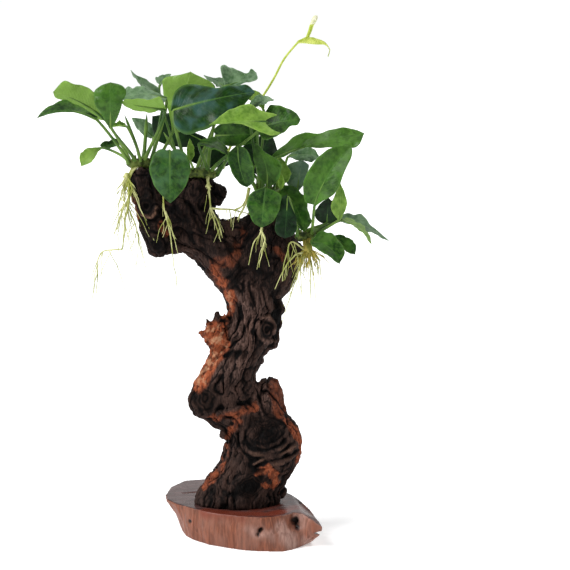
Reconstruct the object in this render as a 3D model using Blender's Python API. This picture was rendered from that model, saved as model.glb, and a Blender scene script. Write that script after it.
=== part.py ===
"""Anubias nana with long roots and one flower, grown on branching driftwood that stands on a wooden slab.

Metres, +Z up. The origin is the middle of the slab's flat underside and the viewer stands on the -Y side.
"""

import math

import bmesh
import bpy
from mathutils import Vector, noise

MM = 0.001
GAP = 0.3 * MM

# Slab
SLAB_TOP = 27 * MM
# Outlines of the slab at its underside, halfway up and on top, from the left tip along the front and back
SLAB_BOTTOM = (
    (-53, 12), (-51, 2), (-48, -8), (-42, -17), (-28, -30), (-14, -37), (0, -43), (10, -45),
    (21, -46), (32, -46), (40, -41), (46, -34), (50, -29), (54, -23), (52, -16), (48, -7),
    (42, 4), (35, 14), (26, 24), (7, 36), (-12, 44), (-30, 48), (-43, 44), (-50, 30),
)
SLAB_MIDDLE = (
    (-58, 13), (-55, 0), (-50, -9), (-44, -18), (-30, -30), (-16, -37), (0, -43), (12, -45),
    (22, -45), (32, -42), (40, -37), (47, -34), (55, -38), (62, -40), (58, -29), (53, -14),
    (46, 2), (39, 17), (29, 31), (9, 47), (-14, 57), (-35, 61), (-51, 56), (-60, 38),
)
SLAB_TOP_EDGE = (
    (-67, 18), (-65, 5), (-57, -6), (-45, -17), (-31, -28), (-17, -35), (1, -41), (13, -43),
    (23, -42), (32, -37), (39, -31), (47, -32), (55, -38), (63, -45), (59, -34), (54, -19),
    (46, 3), (39, 19), (29, 33), (9, 50), (-14, 61), (-36, 65), (-54, 60), (-64, 42),
)
SLAB_LOW_TIP = {12: 3, 13: 7, 14: 4, 15: 1}

# Driftwood: heights with the left, right, front and back edge of each level
TRUNK_LEVELS = (
    (22, -40, 27, -23, 17), (32, -39, 30, -24, 19), (39, -37, 28, -23, 20), (47, -32, 35, -22, 21),
    (56, -22, 44, -23, 23), (64, -18, 46, -25, 25), (74, -15, 47, -26, 25), (82, -15, 46, -24, 25),
    (89, -18, 43, -22, 24), (94, -27, 40, -20, 22), (100, -40, 30, -19, 20), (106, -44, 18, -19, 18),
    (114, -44, 10, -20, 18), (121, -42, 11, -20, 18), (129, -38, 10, -19, 18), (137, -34, 11, -18, 18),
    (143, -32, 14, -18, 18), (150, -29, 16, -18, 19), (155, -26, 19, -18, 20), (160, -22, 25, -17, 20),
    (166, -19, 28, -17, 20), (172, -16, 29, -17, 21), (179, -14, 29, -17, 21), (187, -12, 27, -17, 21),
    (193, -13, 27, -18, 20), (199, -17, 26, -18, 20), (206, -23, 28, -18, 20), (212, -25, 30, -17, 19),
)
RIGHT_LEVELS = (
    (196, 6, 32, -12, 18), (205, -4, 38, -16, 20), (212, -12, 42, -18, 21), (219, -12, 46, -19, 22),
    (226, -11, 49, -19, 22), (233, -10, 50, -18, 22), (240, -9, 46, -16, 22), (248, -7, 40, -13, 21),
    (255, -5, 34, -10, 20), (262, 2, 32, -5, 19), (269, 8, 31, -3, 17), (274, 13, 28, 0, 14),
)
# Driftwood limbs: points along the middle with the radius of the wood there
MIDDLE_LIMB = (
    (7, 1, 188, 14), (-3, 1, 211, 18), (-17, 1, 230, 20), (-31, 1, 244, 19.5), (-38, 2, 256, 18),
    (-39, 3, 268, 15), (-36, 3, 280, 16.5), (-35, 3, 289, 12),
)
LEFT_LIMB = (
    (-79, -7, 298, 9.5), (-75, -8, 290, 12.5), (-72, -9, 271, 13), (-68, -10, 254, 12.5),
    (-65, -12, 240, 10.5), (-64, -12, 232, 7),
)
LIMB_BRIDGE = ((-36, 0, 256, 15), (-50, -4, 264, 16), (-66, -8, 262, 12))
KNOB = ((20, 3, 84, 14), (19, 4, 100, 14), (19, 4, 112, 11.5), (19, 4, 122, 9.5), (18, 4, 128, 5.5))
FOOT_LEFT = ((-14, 0, 46, 10), (-26, -2, 38, 9), (-36, -4, 32, 5.5))
FOOT_RIGHT = ((16, 2, 50, 12), (25, 0, 38, 9), (31, -1, 33, 5.5))
# Swellings on the wood: centre and radii
SWELLINGS = (
    (-33, -10, 111, 13, 11, 13), (-23, -8, 167, 10, 6, 12), (-14, -4, 83, 4.5, 5, 4), (20, 0, 163, 8, 12, 9),
    (-22, 0, 279, 9, 8, 8), (-66, -12, 239, 10, 10, 10), (0, -18, 44, 12, 8, 9), (26, 0, 188, 6, 9, 8),
    (22, -6, 51, 12, 12, 9), (-2, -10, 150, 10, 10, 12), (6, -8, 200, 14, 12, 12), (-8, 2, 250, 13, 11, 11),
    (-54, -6, 240, 7, 8, 8),
)
BURL_TEETH = ((-36, -9, 169), (-31, -8, 181), (-21, -8, 185), (-14, -8, 184), (-32, -8, 160), (-27, -7, 154))
WOOD_VOXEL = 2.2 * MM
GRAIN_DEPTH = 2.2 * MM
WOOD_TRIANGLES = 1860
TRUNK_CUT = ((0, 0, 207), (0.12, 0, 1))
FORK_CUT = ((-8, 0, 252), (1, 0, 0.1))
LEFT_CUT = ((-58, 0, 255), (1, 0, 0.06))

# Rhizomes: both ends and the radius
RHIZOMES = {
    "left": ((-91, -11, 303), (-66, -3, 302), 4.2),
    "middle": ((-48, -7, 296), (-20, 3, 293), 4.2),
    "centre": ((9, 0, 280), (33, 6, 279), 4.2),
    "right": ((41, -15, 246), (58, -8, 245), 4.2),
}

# Stalks that stand on the rhizomes without a blade of their own: points and radius
BARE_STALKS = {
    "left": (
        ((-80, -7, 304), (-85, 4, 318), (-94, 8, 341), 1.2),
        ((-79, -7, 304), (-78, 2, 314), (-76, 5, 342), 1.5),
    ),
    "middle": (
        ((-40, -4, 295), (-50, 9, 306), (-64, 16, 327), 1.3),
        ((-24, 3, 294), (-17, 12, 301), (-8, 14, 311), 1.2),
    ),
    "centre": (),
    "right": (),
}
PETIOLE_RADIUS = 1.2 * MM
BLADE_THICKNESS = 0.9 * MM
# Blade forms: places along the blade, the share of the half width there on the left and on the right, and how far
# the margin is swept back
FORMS = {
    "oval": (
        (0.03, 0.46, 0.46, 0.08), (0.14, 0.86, 0.86, 0.06), (0.32, 1, 1, 0.02), (0.55, 0.9, 0.9, 0),
        (0.77, 0.58, 0.58, 0), (0.92, 0.24, 0.24, 0), (1, 0.04, 0.04, 0),
    ),
    "small": (
        (0.04, 0.45, 0.45, 0.05), (0.25, 0.95, 0.95, 0.02), (0.5, 0.96, 0.96, 0), (0.8, 0.52, 0.52, 0),
        (1, 0.05, 0.05, 0),
    ),
    "left_1": (
        (0.03, 0.07, 0.07, 0.08), (0.14, 0.25, 0.2, 0.06), (0.32, 0.1, 0.73, 0.02), (0.55, 0.17, 1, 0),
        (0.77, 0.13, 0.77, 0), (0.92, 0.03, 0.42, 0), (1, 0.04, 0.04, 0),
    ),
    "left_2": (
        (0.03, 0.08, 0.08, 0.08), (0.14, 0.54, 0.33, 0.06), (0.32, 0.98, 0.49, 0.02), (0.55, 1, 0.42, 0),
        (0.77, 0.88, 0.37, 0), (0.92, 0.82, 0.37, 0), (1, 0.04, 0.04, 0),
    ),
    "left_3": (
        (0.03, 0.08, 0.08, 0.08), (0.14, 0.22, 0.25, 0.06), (0.32, 0.57, 0.54, 0.02), (0.55, 0.98, 0.73, 0),
        (0.77, 1, 0.97, 0), (0.92, 0.64, 0.8, 0), (1, 0.04, 0.04, 0),
    ),
    "left_5": (
        (0.05, 0.08, 0.14, 0.04), (0.25, 0.33, 0.64, 0.02), (0.52, 0.68, 1, 0), (0.82, 0.39, 0.74, 0),
        (1, 0.07, 0.07, 0),
    ),
    "left_6": (
        (0.05, 0.19, 0.58, 0.04), (0.25, 0.62, 0.81, 0.02), (0.52, 1, 0.46, 0), (0.82, 0.96, 0.42, 0),
        (1, 0.1, 0.1, 0),
    ),
    "centre_1": (
        (0.05, 0.16, 0.16, 0.04), (0.25, 0.84, 0.66, 0.02), (0.52, 1, 0.55, 0), (0.82, 0.66, 0.08, 0),
        (1, 0.08, 0.08, 0),
    ),
    "centre_2": (
        (0.03, 0.09, 0.09, 0.08), (0.14, 0.71, 0.16, 0.06), (0.32, 1, 0.4, 0.02), (0.55, 0.95, 0.79, 0),
        (0.77, 0.7, 0.97, 0), (0.92, 0.47, 0.86, 0), (1, 0.04, 0.04, 0),
    ),
    "centre_3": (
        (0.03, 0.04, 0.04, 0.08), (0.14, 1, 0.1, 0.06), (0.32, 0.79, 0.56, 0.02), (0.55, 0.65, 0.55, 0),
        (0.77, 0.51, 0.42, 0), (0.92, 0.39, 0.22, 0), (1, 0.05, 0.05, 0),
    ),
    "centre_5": (
        (0.03, 0.05, 0.05, 0.08), (0.14, 0.57, 0.16, 0.06), (0.32, 0.89, 0.44, 0.02), (0.55, 0.99, 0.78, 0),
        (0.77, 1, 0.87, 0), (0.92, 0.94, 0.3, 0), (1, 0.03, 0.03, 0),
    ),
    "centre_6": (
        (0.03, 0.04, 0.65, 0.08), (0.14, 0.7, 1, 0.06), (0.32, 0.82, 0.99, 0.02), (0.55, 0.43, 0.85, 0),
        (0.77, 0.38, 0.54, 0), (0.92, 0.36, 0.2, 0), (1, 0.02, 0.02, 0),
    ),
    "centre_7": (
        (0.03, 0.9, 0.45, 0.21), (0.14, 0.92, 0.62, 0.15), (0.32, 0.49, 1, 0.09), (0.55, 0.11, 0.91, 0.03),
        (0.77, 0.03, 0.49, 0), (0.92, 0.03, 0.15, 0), (1, 0.04, 0.04, 0),
    ),
    "centre_8": (
        (0.03, 0.06, 0.06, 0.08), (0.14, 0.44, 0.68, 0.06), (0.32, 0.84, 1, 0.02), (0.55, 0.78, 0.75, 0),
        (0.77, 0.59, 0.37, 0), (0.92, 0.33, 0.32, 0), (1, 0.03, 0.03, 0),
    ),
    "centre_9": (
        (0.03, 0.43, 0.28, 0.08), (0.14, 0.84, 0.6, 0.06), (0.32, 1, 0.83, 0.02), (0.55, 0.85, 0.85, 0),
        (0.77, 0.68, 0.71, 0), (0.92, 0.5, 0.51, 0), (1, 0.05, 0.05, 0),
    ),
    "centre_10": (
        (0.03, 0.07, 0.07, 0.08), (0.14, 0.95, 0.16, 0.06), (0.32, 1, 0.26, 0.02), (0.55, 0.53, 0.22, 0),
        (0.77, 0.22, 0.4, 0), (0.92, 0.3, 0.4, 0), (1, 0.03, 0.03, 0),
    ),
    "middle_1": (
        (0.03, 0.09, 0.09, 0.08), (0.14, 0.65, 0.61, 0.06), (0.32, 0.91, 0.68, 0.02), (0.55, 1, 0.56, 0),
        (0.77, 0.86, 0.44, 0), (0.92, 0.6, 0.25, 0), (1, 0.04, 0.04, 0),
    ),
    "middle_2": (
        (0.03, 0.03, 0.07, 0.08), (0.14, 0.22, 0.55, 0.06), (0.32, 0.45, 0.86, 0.02), (0.55, 0.5, 1, 0),
        (0.77, 0.39, 0.29, 0), (0.92, 0.15, 0.14, 0), (1, 0.03, 0.03, 0),
    ),
    "middle_4": (
        (0.03, 0.08, 0.08, 0.08), (0.14, 0.9, 0.69, 0.06), (0.32, 0.98, 1, 0.02), (0.55, 0.89, 0.92, 0),
        (0.77, 0.69, 0.67, 0), (0.92, 0.33, 0.42, 0), (1, 0.04, 0.04, 0),
    ),
    "middle_5": (
        (0.03, 0.05, 0.12, 0.08), (0.14, 0.12, 0.69, 0.06), (0.32, 0.57, 0.8, 0.02), (0.55, 0.98, 0.94, 0),
        (0.77, 1, 0.98, 0), (0.92, 0.71, 0.75, 0), (1, 0.06, 0.06, 0),
    ),
    "middle_6": (
        (0.03, 0.11, 0.11, 0.08), (0.14, 0.72, 0.67, 0.06), (0.32, 1, 0.89, 0.02), (0.55, 0.87, 0.81, 0),
        (0.77, 0.76, 0.56, 0), (0.92, 0.63, 0.37, 0), (1, 0.05, 0.05, 0),
    ),
    "right_1": (
        (0.03, 0.09, 0.09, 0.08), (0.14, 0.55, 0.32, 0.06), (0.32, 0.91, 0.03, 0.02), (0.55, 0.7, 0.71, 0),
        (0.77, 0.61, 0.99, 0), (0.92, 0.35, 1, 0), (1, 0.04, 0.04, 0),
    ),
    "right_3": (
        (0.03, 0.49, 0.07, 0.08), (0.14, 0.79, 0.37, 0.06), (0.32, 1, 0.87, 0.02), (0.55, 0.96, 0.76, 0),
        (0.77, 0.77, 0.57, 0), (0.92, 0.42, 0.32, 0), (1, 0.04, 0.04, 0),
    ),
    "right_4": (
        (0.03, 0.12, 0.06, 0.08), (0.14, 0.51, 0.24, 0.06), (0.32, 1, 0.57, 0.02), (0.55, 0.9, 0.56, 0),
        (0.77, 0.45, 0.35, 0), (0.92, 0.24, 0.11, 0), (1, 0.06, 0.06, 0),
    ),
    "right_6": (
        (0.03, 0.08, 0.08, 0.08), (0.14, 0.65, 0.23, 0.06), (0.32, 0.84, 0.45, 0.02), (0.55, 1, 0.48, 0),
        (0.77, 0.79, 0.48, 0), (0.92, 0.41, 0.46, 0), (1, 0.04, 0.04, 0),
    ),
    "right_8": (
        (0.03, 0.3, 0.2, 0.08), (0.14, 0.85, 0.5, 0.06), (0.32, 1, 0.64, 0.02), (0.55, 0.37, 0.7, 0),
        (0.77, 0.13, 0.49, 0), (0.92, 0.07, 0.21, 0), (1, 0.05, 0.05, 0),
    ),
    "right_9": (
        (0.03, 0.83, 0.09, 0.08), (0.14, 1, 0.49, 0.06), (0.32, 0.98, 0.67, 0.02), (0.55, 0.83, 0.65, 0),
        (0.77, 0.79, 0.5, 0), (0.92, 0.73, 0.27, 0), (1, 0.04, 0.04, 0),
    ),
    "right_10": (
        (0.05, 0.4, 0.19, 0.04), (0.25, 0.86, 0.38, 0.02), (0.52, 1, 0.68, 0), (0.82, 0.87, 0.59, 0),
        (1, 0.08, 0.08, 0),
    ),
    "hang_4": (
        (0.05, 0.1, 0.1, 0.04), (0.25, 0.78, 0.86, 0.02), (0.52, 0.97, 1, 0), (0.82, 0.99, 0.93, 0),
        (1, 0.05, 0.05, 0),
    ),
    "centre_14": (
        (0.03, 0.07, 0.07, 0.08), (0.14, 0.32, 0.21, 0.06), (0.32, 0.77, 0.15, 0.02), (0.55, 1, 0.13, 0),
        (0.77, 0.97, 0.49, 0), (0.92, 0.47, 0.18, 0), (1, 0.03, 0.03, 0),
    ),
    "centre_4": (
        (0.05, 0.54, 0.85, 0.04), (0.25, 1, 0.73, 0.02), (0.52, 0.67, 0.61, 0), (0.82, 0.28, 0.61, 0),
        (1, 0.07, 0.07, 0),
    ),
    "centre_11": (
        (0.05, 0.42, 0.62, 0.04), (0.25, 0.89, 0.84, 0.02), (0.52, 1, 0.28, 0), (0.82, 0.72, 0.05, 0),
        (1, 0.06, 0.06, 0),
    ),
    "centre_12": (
        (0.05, 0.13, 0.12, 0.04), (0.25, 0.4, 0.46, 0.02), (0.52, 0.74, 0.63, 0), (0.82, 1, 0.34, 0),
        (1, 0.06, 0.06, 0),
    ),
    "right_2": (
        (0.05, 0.17, 0.17, 0.04), (0.25, 0.59, 0.71, 0.02), (0.52, 0.88, 1, 0), (0.82, 0.84, 0.97, 0),
        (1, 0.09, 0.09, 0),
    ),
}
# Leaves by the rhizome they grow from: place along and around it, blade base, blade tip, width, where the upper
# face looks, how far the blade bows up and sideways, how far its margins stand up, form and colour
LEAVES = {
    "left": {
        "left_1": (0.02, 150, (-115, -12, 339), (-159, -16, 339), 27.4, (0, -0.5, 0.87), 7, 0, -1, "left_1", "deep"),
        "left_2": (0.1, 60, (-110, 6, 338), (-149, 2, 359), 25.8, (-0.3, 0.85, 0.45), 0, -3, 1, "left_2", "young"),
        "left_3": (0.22, 130, (-101, -26, 333), (-100, -31, 366), 24.2, (0.1, -1, 0.2), 4, 0, -4, "left_3", "deep"),
        "left_4": (0.4, 150, (-91, -13, 333), (-101, -17, 332), 6, (0, -0.5, 0.8), 1, 0, 1, "small", "young"),
        "left_5": (0.02, 80, (-113, 2, 315), (-128, 0, 301), 14.4, (0, -0.8, 0.6), 1, 0, 1, "left_5", "young"),
        "left_6": (0.3, 30, (-99, 12, 318), (-114, 8, 317), 9.6, (0, -0.85, 0.5), 1, 0, 1, "left_6", "deep"),
        "left_7": (0.6, 20, (-74, 28, 323), (-91, 32, 338), 13, (0.4, -0.8, 0.5), 1, 0, 1, "small", "pale"),
        "centre_1": (0.8, 50, (-65, 12, 356), (-89, 13, 376), 12.8, (-0.4, -0.3, 0.85), 2, -4, 1, "centre_1", "pale"),
        "centre_2": (0.75, 110, (-60, -14, 354), (-93, -17, 354), 23.4, (0, -0.5, 0.85), 4, 0, -1, "centre_2", "pale"),
        "centre_3": (0.55, 120, (-60, -27, 346), (-92, -27, 351), 22.2, (0.2, 0.7, 0.65), 0, 0, -1, "centre_3", "young"),
        "centre_5": (0.95, 110, (-54, -4, 330), (-41, 0, 374.5), 42.5, (0.1, 0.9, 0.3), 2, 0, 2, "centre_5", "young"),
        "hang_1": (1, 150, (-55, -34, 314), (-55, -36, 275), 31, (0, -1, 0.15), 1, 0, -2, "oval", "deep"),
    },
    "middle": {
        "centre_4": (0.04, 30, (-67, 24, 365), (-59, 30, 373), 13.4, (-0.3, -0.5, 0.8), 1, 0, 1, "centre_4", "pale"),
        "centre_6": (0.1, 150, (-51, -32, 346), (10, -24, 359), 45.2, (-0.1, -0.85, 0.5), 3, 0, -3, "centre_6", "deep"),
        "centre_7": (0.8, 120, (18, -36, 337), (-24, -44, 335), 26.6, (0, -0.85, 0.5), 2, 0, -1, "centre_7", "young"),
        "centre_10": (0.72, 60, (-13, 14, 364), (10, 22, 374), 30.6, (-0.2, -0.9, 0.45), -2, 0, 3, "centre_10", "pale"),
        "centre_11": (0.45, 45, (-16, 28, 363), (-32, 26, 372), 16.2, (0.2, -0.5, 0.8), 1, 0, 1, "centre_11", "pale"),
        "centre_14": (0.55, 30, (-30, 24, 318), (-74, 30, 339), 35, (0.2, -0.9, 0.4), 1, 0, 1, "centre_14", "dark"),
        "hang_2": (0.66, 120, (-33, -22, 320), (-11, -26, 311), 16, (0, -0.4, 0.9), 4, 0, 0, "small", "deep"),
        "hang_3": (0.28, 125, (-41, -14, 307), (-41, -14, 323), 6, (0.3, -0.9, 0), 0, 0, 1, "small", "young"),
        "hang_4": (0.6, 5, (-26, 33, 322), (-29, 34, 297), 32, (0, -1, 0), 1, 0, 1, "hang_4", "dark"),
        "middle_1": (0.98, 150, (-3, -30, 317), (4, -32, 287), 22.8, (-0.2, -0.95, 0.1), 1, 2, 2, "middle_1", "deep"),
    },
    "centre": {
        "centre_8": (0.25, 150, (13, -18, 331), (45, -24, 338), 34.2, (0, -0.8, 0.6), 3, 0, 2, "centre_8", "deep"),
        "centre_9": (0.02, 90, (-21, -2, 325), (13, -2, 326), 20.6, (0, -1, 0.1), 3, 0, 0, "centre_9", "deep"),
        "centre_12": (0.1, 60, (16, -2, 346), (6, -2, 361), 16.4, (0.3, -0.8, 0.5), 1, 0, 1, "centre_12", "young"),
        "centre_13": (0.16, 120, (7, -17, 348), (25, -13, 353), 15, (0, -0.4, 0.9), 3, 0, -1, "small", "pale"),
        "middle_2": (0.02, 160, (19, -17, 287), (10, -24, 320), 30, (-0.4, -0.9, 0.1), 1, 4, 2, "middle_2", "deep"),
        "middle_3": (0.6, 150, (25, -8, 288), (29, -9, 309), 20, (0.3, -0.9, 0.1), 1, 0, 2, "small", "young"),
        "middle_4": (0.34, 178, (18, -33, 285), (15, -35, 256), 26.2, (0, -1, 0.2), 2, 0, -2, "middle_4", "deep"),
        "middle_6": (0.9, 140, (31, -8, 284), (48, -18, 251), 18.8, (0.3, -0.8, 0.4), 2, -2, 2, "middle_6", "deep"),
        "middle_7": (0.5, 170, (30, -25, 286), (30, -25, 297), 5, (0, -1, 0.1), 0, 0, 1, "small", "young"),
        "middle_8": (0.35, 50, (7, 14, 296), (22, 18, 326), 30, (0, -0.9, 0.3), 1, 0, 1, "small", "dark"),
        "right_1": (0.75, 90, (26, 2, 308), (95, -6, 327), 23.4, (0, -0.75, 0.66), 4, 0, 0, "right_1", "deep"),
        "right_2": (0.95, 60, (36, 14, 308), (60, 12, 308), 15, (0, -0.7, 0.7), 2, 0, 0, "right_2", "pale"),
    },
    "right": {
        "middle_5": (0.05, 140, (35, -31, 279), (33, -38, 248), 16.6, (0, -1, -0.1), 1, 0, -1, "middle_5", "dark"),
        "right_3": (0.7, 130, (56, -34, 274), (84, -30, 318), 28.4, (-0.1, -0.95, 0.3), 3, -3, 1, "right_3", "deep"),
        "right_4": (0.98, 110, (76, -14, 261), (76, -18, 289), 16, (0.2, -0.9, 0.2), 1, 0, 1, "right_4", "young"),
        "right_5": (0.5, 95, (66, -8, 257), (67, -13, 277), 20, (0, -1, 0.1), 1, 0, 0, "small", "dark"),
        "right_6": (0.15, 70, (43, 0, 283), (47, -7, 306), 25.6, (0, -0.7, 0.7), 2, 0, 0, "right_6", "pale"),
        "right_7": (0.98, 60, (80, -6, 259), (101, -14, 241), 20, (-0.2, 0.1, 1), 3, 0, 0, "small", "young"),
        "right_8": (0.85, 40, (78, 10, 257), (116, 6, 241), 19.4, (0.2, -0.5, 0.85), 4, 0, 0, "right_8", "pale"),
        "right_9": (0.85, 165, (54, -30, 244), (75, -36, 228), 22.8, (0.3, -0.8, 0.6), 3, -4, 0, "right_9", "deep"),
        "right_10": (1, 150, (71, -16, 246), (88, -18, 233), 12.6, (0.1, -0.7, 0.6), 2, 0, 0, "right_10", "deep"),
    },
}
LEAF_COLOURS = {
    "deep": (0.05, 0.17, 0.03),
    "dark": (0.02, 0.07, 0.02),
    "young": (0.17, 0.36, 0.04),
    "pale": (0.16, 0.27, 0.14),
}

# Flower
FLOWER_STALK = (
    (-16, 3, 298.5), (-12, 6, 312), (-3, 10, 331), (5, 10, 343),
    (15, 9, 355), (24, 6, 369), (32, 3, 384), (41, 0, 395),
)
STALK_RADIUS = 0.9
SPADIX = ((50.5, 0, 401.5, 1.3), (52.5, 0, 406, 1.4), (54, 0, 411, 1.6), (56, 0, 415, 2.0), (57.5, 0, 418, 1.2))
SPATHE_BASE = (42, 0, 396.6)
SPATHE_TIP = (68, 1, 395)

# Roots: crown centre with its radius, then the strands as points with one radius
ROOTS = {
    "roots_left": ((-90, -17, 294, 3.2), (
        ((-90, -17, 294), (-93, -19, 287), (-95, -15, 275), 0.5),
        ((-89, -17, 293), (-86, -22, 284), (-91, -22, 274), (-97, -20, 266), (-103, -18, 255), 0.7),
        ((-90, -22, 275), (-94, -24, 265), (-98, -24, 254), 0.5),
        ((-89, -17, 294), (-88, -22, 278), (-91, -23, 260), (-92.5, -23, 249), (-94, -23, 238), 1.1),
        ((-93.5, -23, 238), (-112, -20, 234), (-114, -20, 216), (-115, -20, 203), 0.6),
        ((-89.5, -22, 272), (-83, -26, 256), (-80, -26, 244), (-78, -24, 231), 0.6),
    )),
    "roots_front": ((-61, -8, 297, 2.2), (
        ((-61, -8, 297), (-62, -20, 289), (-60, -26, 268), (-56, -25, 250), (-55, -22, 234), (-52, -14, 206), 0.7),
        ((-60, -26, 268), (-56, -26, 259), (-52, -25, 246), 0.6),
    )),
    "roots_middle": ((-27, -10, 286, 2.0), (
        ((-27, -10, 286), (-25, -14, 269), (-22, -19, 259), (-17, -22, 244), 0.8),
        ((-25, -15, 269), (-19, -19, 258), (-16, -23, 247), 0.5),
        ((-26, -14, 269), (-17, -15, 268), (-9, -14, 268), (-3, -12, 266), (5, -12, 264), 0.9),
        ((-7, -13.5, 267), (-1, -14, 271), (2, -14, 276), 0.9),
    )),
    "roots_centre": ((16, -11, 275, 2.2), (
        ((16, -11, 275), (15, -20, 263), (14, -24, 251), (8, -25, 243), (4, -23, 226), 0.8),
        ((14, -23, 253), (17, -26, 247), (15, -26, 239), (13, -25, 224), 0.8),
    )),
    "roots_right": ((51, -20, 238, 4.4), (
        ((49, -21, 236), (39, -25, 244), (35, -25, 237), (32, -26, 226), (31, -25, 213), 0.7),
        ((49, -21, 235), (41, -26, 233), (33, -26, 224), (25, -24, 206), 0.7),
        ((48, -21, 236), (44, -24, 222), (41, -22, 212), (37, -18, 197), (31, -16, 179), 0.6),
        ((49, -21, 236), (45, -24, 222), (46, -22, 201), 0.6),
        ((51, -21, 236), (53, -22, 224), (52, -18, 196), 0.7),
        ((52, -21, 236), (56, -22, 212), (57, -22, 193), 0.5),
        ((50, -20, 236), (58, -17, 227), (60, -14, 212), 0.6),
        ((50, -20, 237), (59, -14, 230), (63, -10, 209), 0.6),
    )),
}
ROOT_COLOUR = (0.55, 0.56, 0.22)


def clear_scene():
    for item in list(bpy.data.objects):
        bpy.data.objects.remove(item, do_unlink=True)


def material(name, colour, roughness):
    """A plain Principled material."""
    made = bpy.data.materials.get(name) or bpy.data.materials.new(name)
    made.use_nodes = True
    shader = made.node_tree.nodes["Principled BSDF"]
    shader.inputs["Base Color"].default_value = (*colour, 1)
    shader.inputs["Roughness"].default_value = roughness
    return made


def vector_mm(point):
    return Vector(point[:3]) * MM


def add_object(name, bm, look=None, smooth=True):
    """A scene object from the bmesh, which is freed."""
    if bm.calc_volume(signed=True) < 0:
        bmesh.ops.reverse_faces(bm, faces=bm.faces)
    mesh = bpy.data.meshes.new(name)
    bm.to_mesh(mesh)
    bm.free()
    for face in mesh.polygons:
        face.use_smooth = smooth
    made = bpy.data.objects.new(name, mesh)
    bpy.context.scene.collection.objects.link(made)
    if look:
        mesh.materials.append(look)
    return made


def skin_rings(rings):
    """A closed bmesh through rings of equally many points, with flat ends."""
    bm = bmesh.new()
    rows = [[bm.verts.new(point) for point in ring] for ring in rings]
    count = len(rows[0])
    for low, high in zip(rows, rows[1:]):
        for i in range(count):
            j = (i + 1) % count
            bm.faces.new((low[i], low[j], high[j], high[i]))
    bm.faces.new(rows[0][::-1])
    bm.faces.new(rows[-1])
    return bm


def frames_along(points, first_side):
    """The direction and side vector at each point of a path, carried along without twist."""
    last = len(points) - 1
    ahead = [(points[min(i + 1, last)] - points[max(i - 1, 0)]).normalized() for i in range(last + 1)]
    side = (first_side - ahead[0] * first_side.dot(ahead[0])).normalized()
    frames = [(ahead[0], side)]
    for before, now in zip(ahead, ahead[1:]):
        side = before.rotation_difference(now) @ side
        frames.append((now, (side - now * side.dot(now)).normalized()))
    return frames


def tube(points, radii, sides):
    """A closed bmesh tube along points, one radius a point."""
    rings = []
    for point, radius, (ahead, side) in zip(points, radii, frames_along(points, Vector((0.31, 0.94, 0.13)))):
        other = ahead.cross(side)
        turn = [2 * math.pi * i / sides for i in range(sides)]
        rings.append([point + (side * math.cos(a) + other * math.sin(a)) * radius for a in turn])
    return skin_rings(rings)


def curve_through(points, steps):
    """Points of a smooth curve through the given ones, steps to each span."""
    ends = [points[0] * 2 - points[1], *points, points[-1] * 2 - points[-2]]
    found = []
    for a, b, c, d in zip(ends, ends[1:], ends[2:], ends[3:]):
        for i in range(steps):
            t = i / steps
            square, cube = 2 * a - 5 * b + 4 * c - d, 3 * b - a - 3 * c + d
            found.append(0.5 * (2 * b + (c - a) * t + square * t**2 + cube * t**3))
    return [*found, points[-1]]


def level_body(name, levels, sides=24):
    """Wood between levels of height, left, right, front and back."""
    rings = []
    for height, left, right, front, back in levels:
        ring = []
        for i in range(sides):
            angle = 2 * math.pi * i / sides
            x = (left + right) / 2 + (right - left) / 2 * math.cos(angle)
            y = (front + back) / 2 + (back - front) / 2 * math.sin(angle)
            ring.append(vector_mm((x, y, height)))
        rings.append(ring)
    return add_object(name, skin_rings(rings))


def limb_body(name, path):
    points = curve_through([vector_mm(p) for p in path], 3)
    radii = curve_through([Vector((p[3] * MM, 0, 0)) for p in path], 3)
    return add_object(name, tube(points, [r.x for r in radii], 16))


def swelling_body(name, x, y, z, a, b, c):
    bm = bmesh.new()
    bmesh.ops.create_icosphere(bm, subdivisions=2, radius=1)
    for vert in bm.verts:
        vert.co = vector_mm((x + vert.co.x * a, y + vert.co.y * b, z + vert.co.z * c))
    return add_object(name, bm)


def tooth_body(name, tip):
    """A short spike on the burl, pointing out from the burl's middle."""
    heart, point = vector_mm((-22, -7, 166)), vector_mm(tip)
    points = [heart.lerp(point, 0.45), heart.lerp(point, 0.8), point]
    return add_object(name, tube(points, [5 * MM, 3.4 * MM, 1.2 * MM], 8))


def join(objects, name):
    bm = bmesh.new()
    for item in objects:
        bm.from_mesh(item.data)
        bpy.data.objects.remove(item, do_unlink=True)
    return add_object(name, bm)


def apply_modifiers(item):
    graph = bpy.context.evaluated_depsgraph_get()
    bpy.context.view_layer.update()
    mesh = bpy.data.meshes.new_from_object(item.evaluated_get(graph))
    item.modifiers.clear()
    item.data = mesh


def rough_grain(point):
    """How far the wood stands out at a point: long ridges that follow the trunk, and lumps."""
    p = point / MM
    flow = Vector((p.x * 0.11 + 0.05 * p.z, p.y * 0.11, p.z * 0.028))
    ridges = 1 - 2 * abs(noise.noise(flow * 1.6 + Vector((3, 7, 1))))
    lumps = noise.noise(p * 0.055 + Vector((9, 2, 4)))
    return 0.55 * ridges + 0.75 * lumps - 0.35


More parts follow.
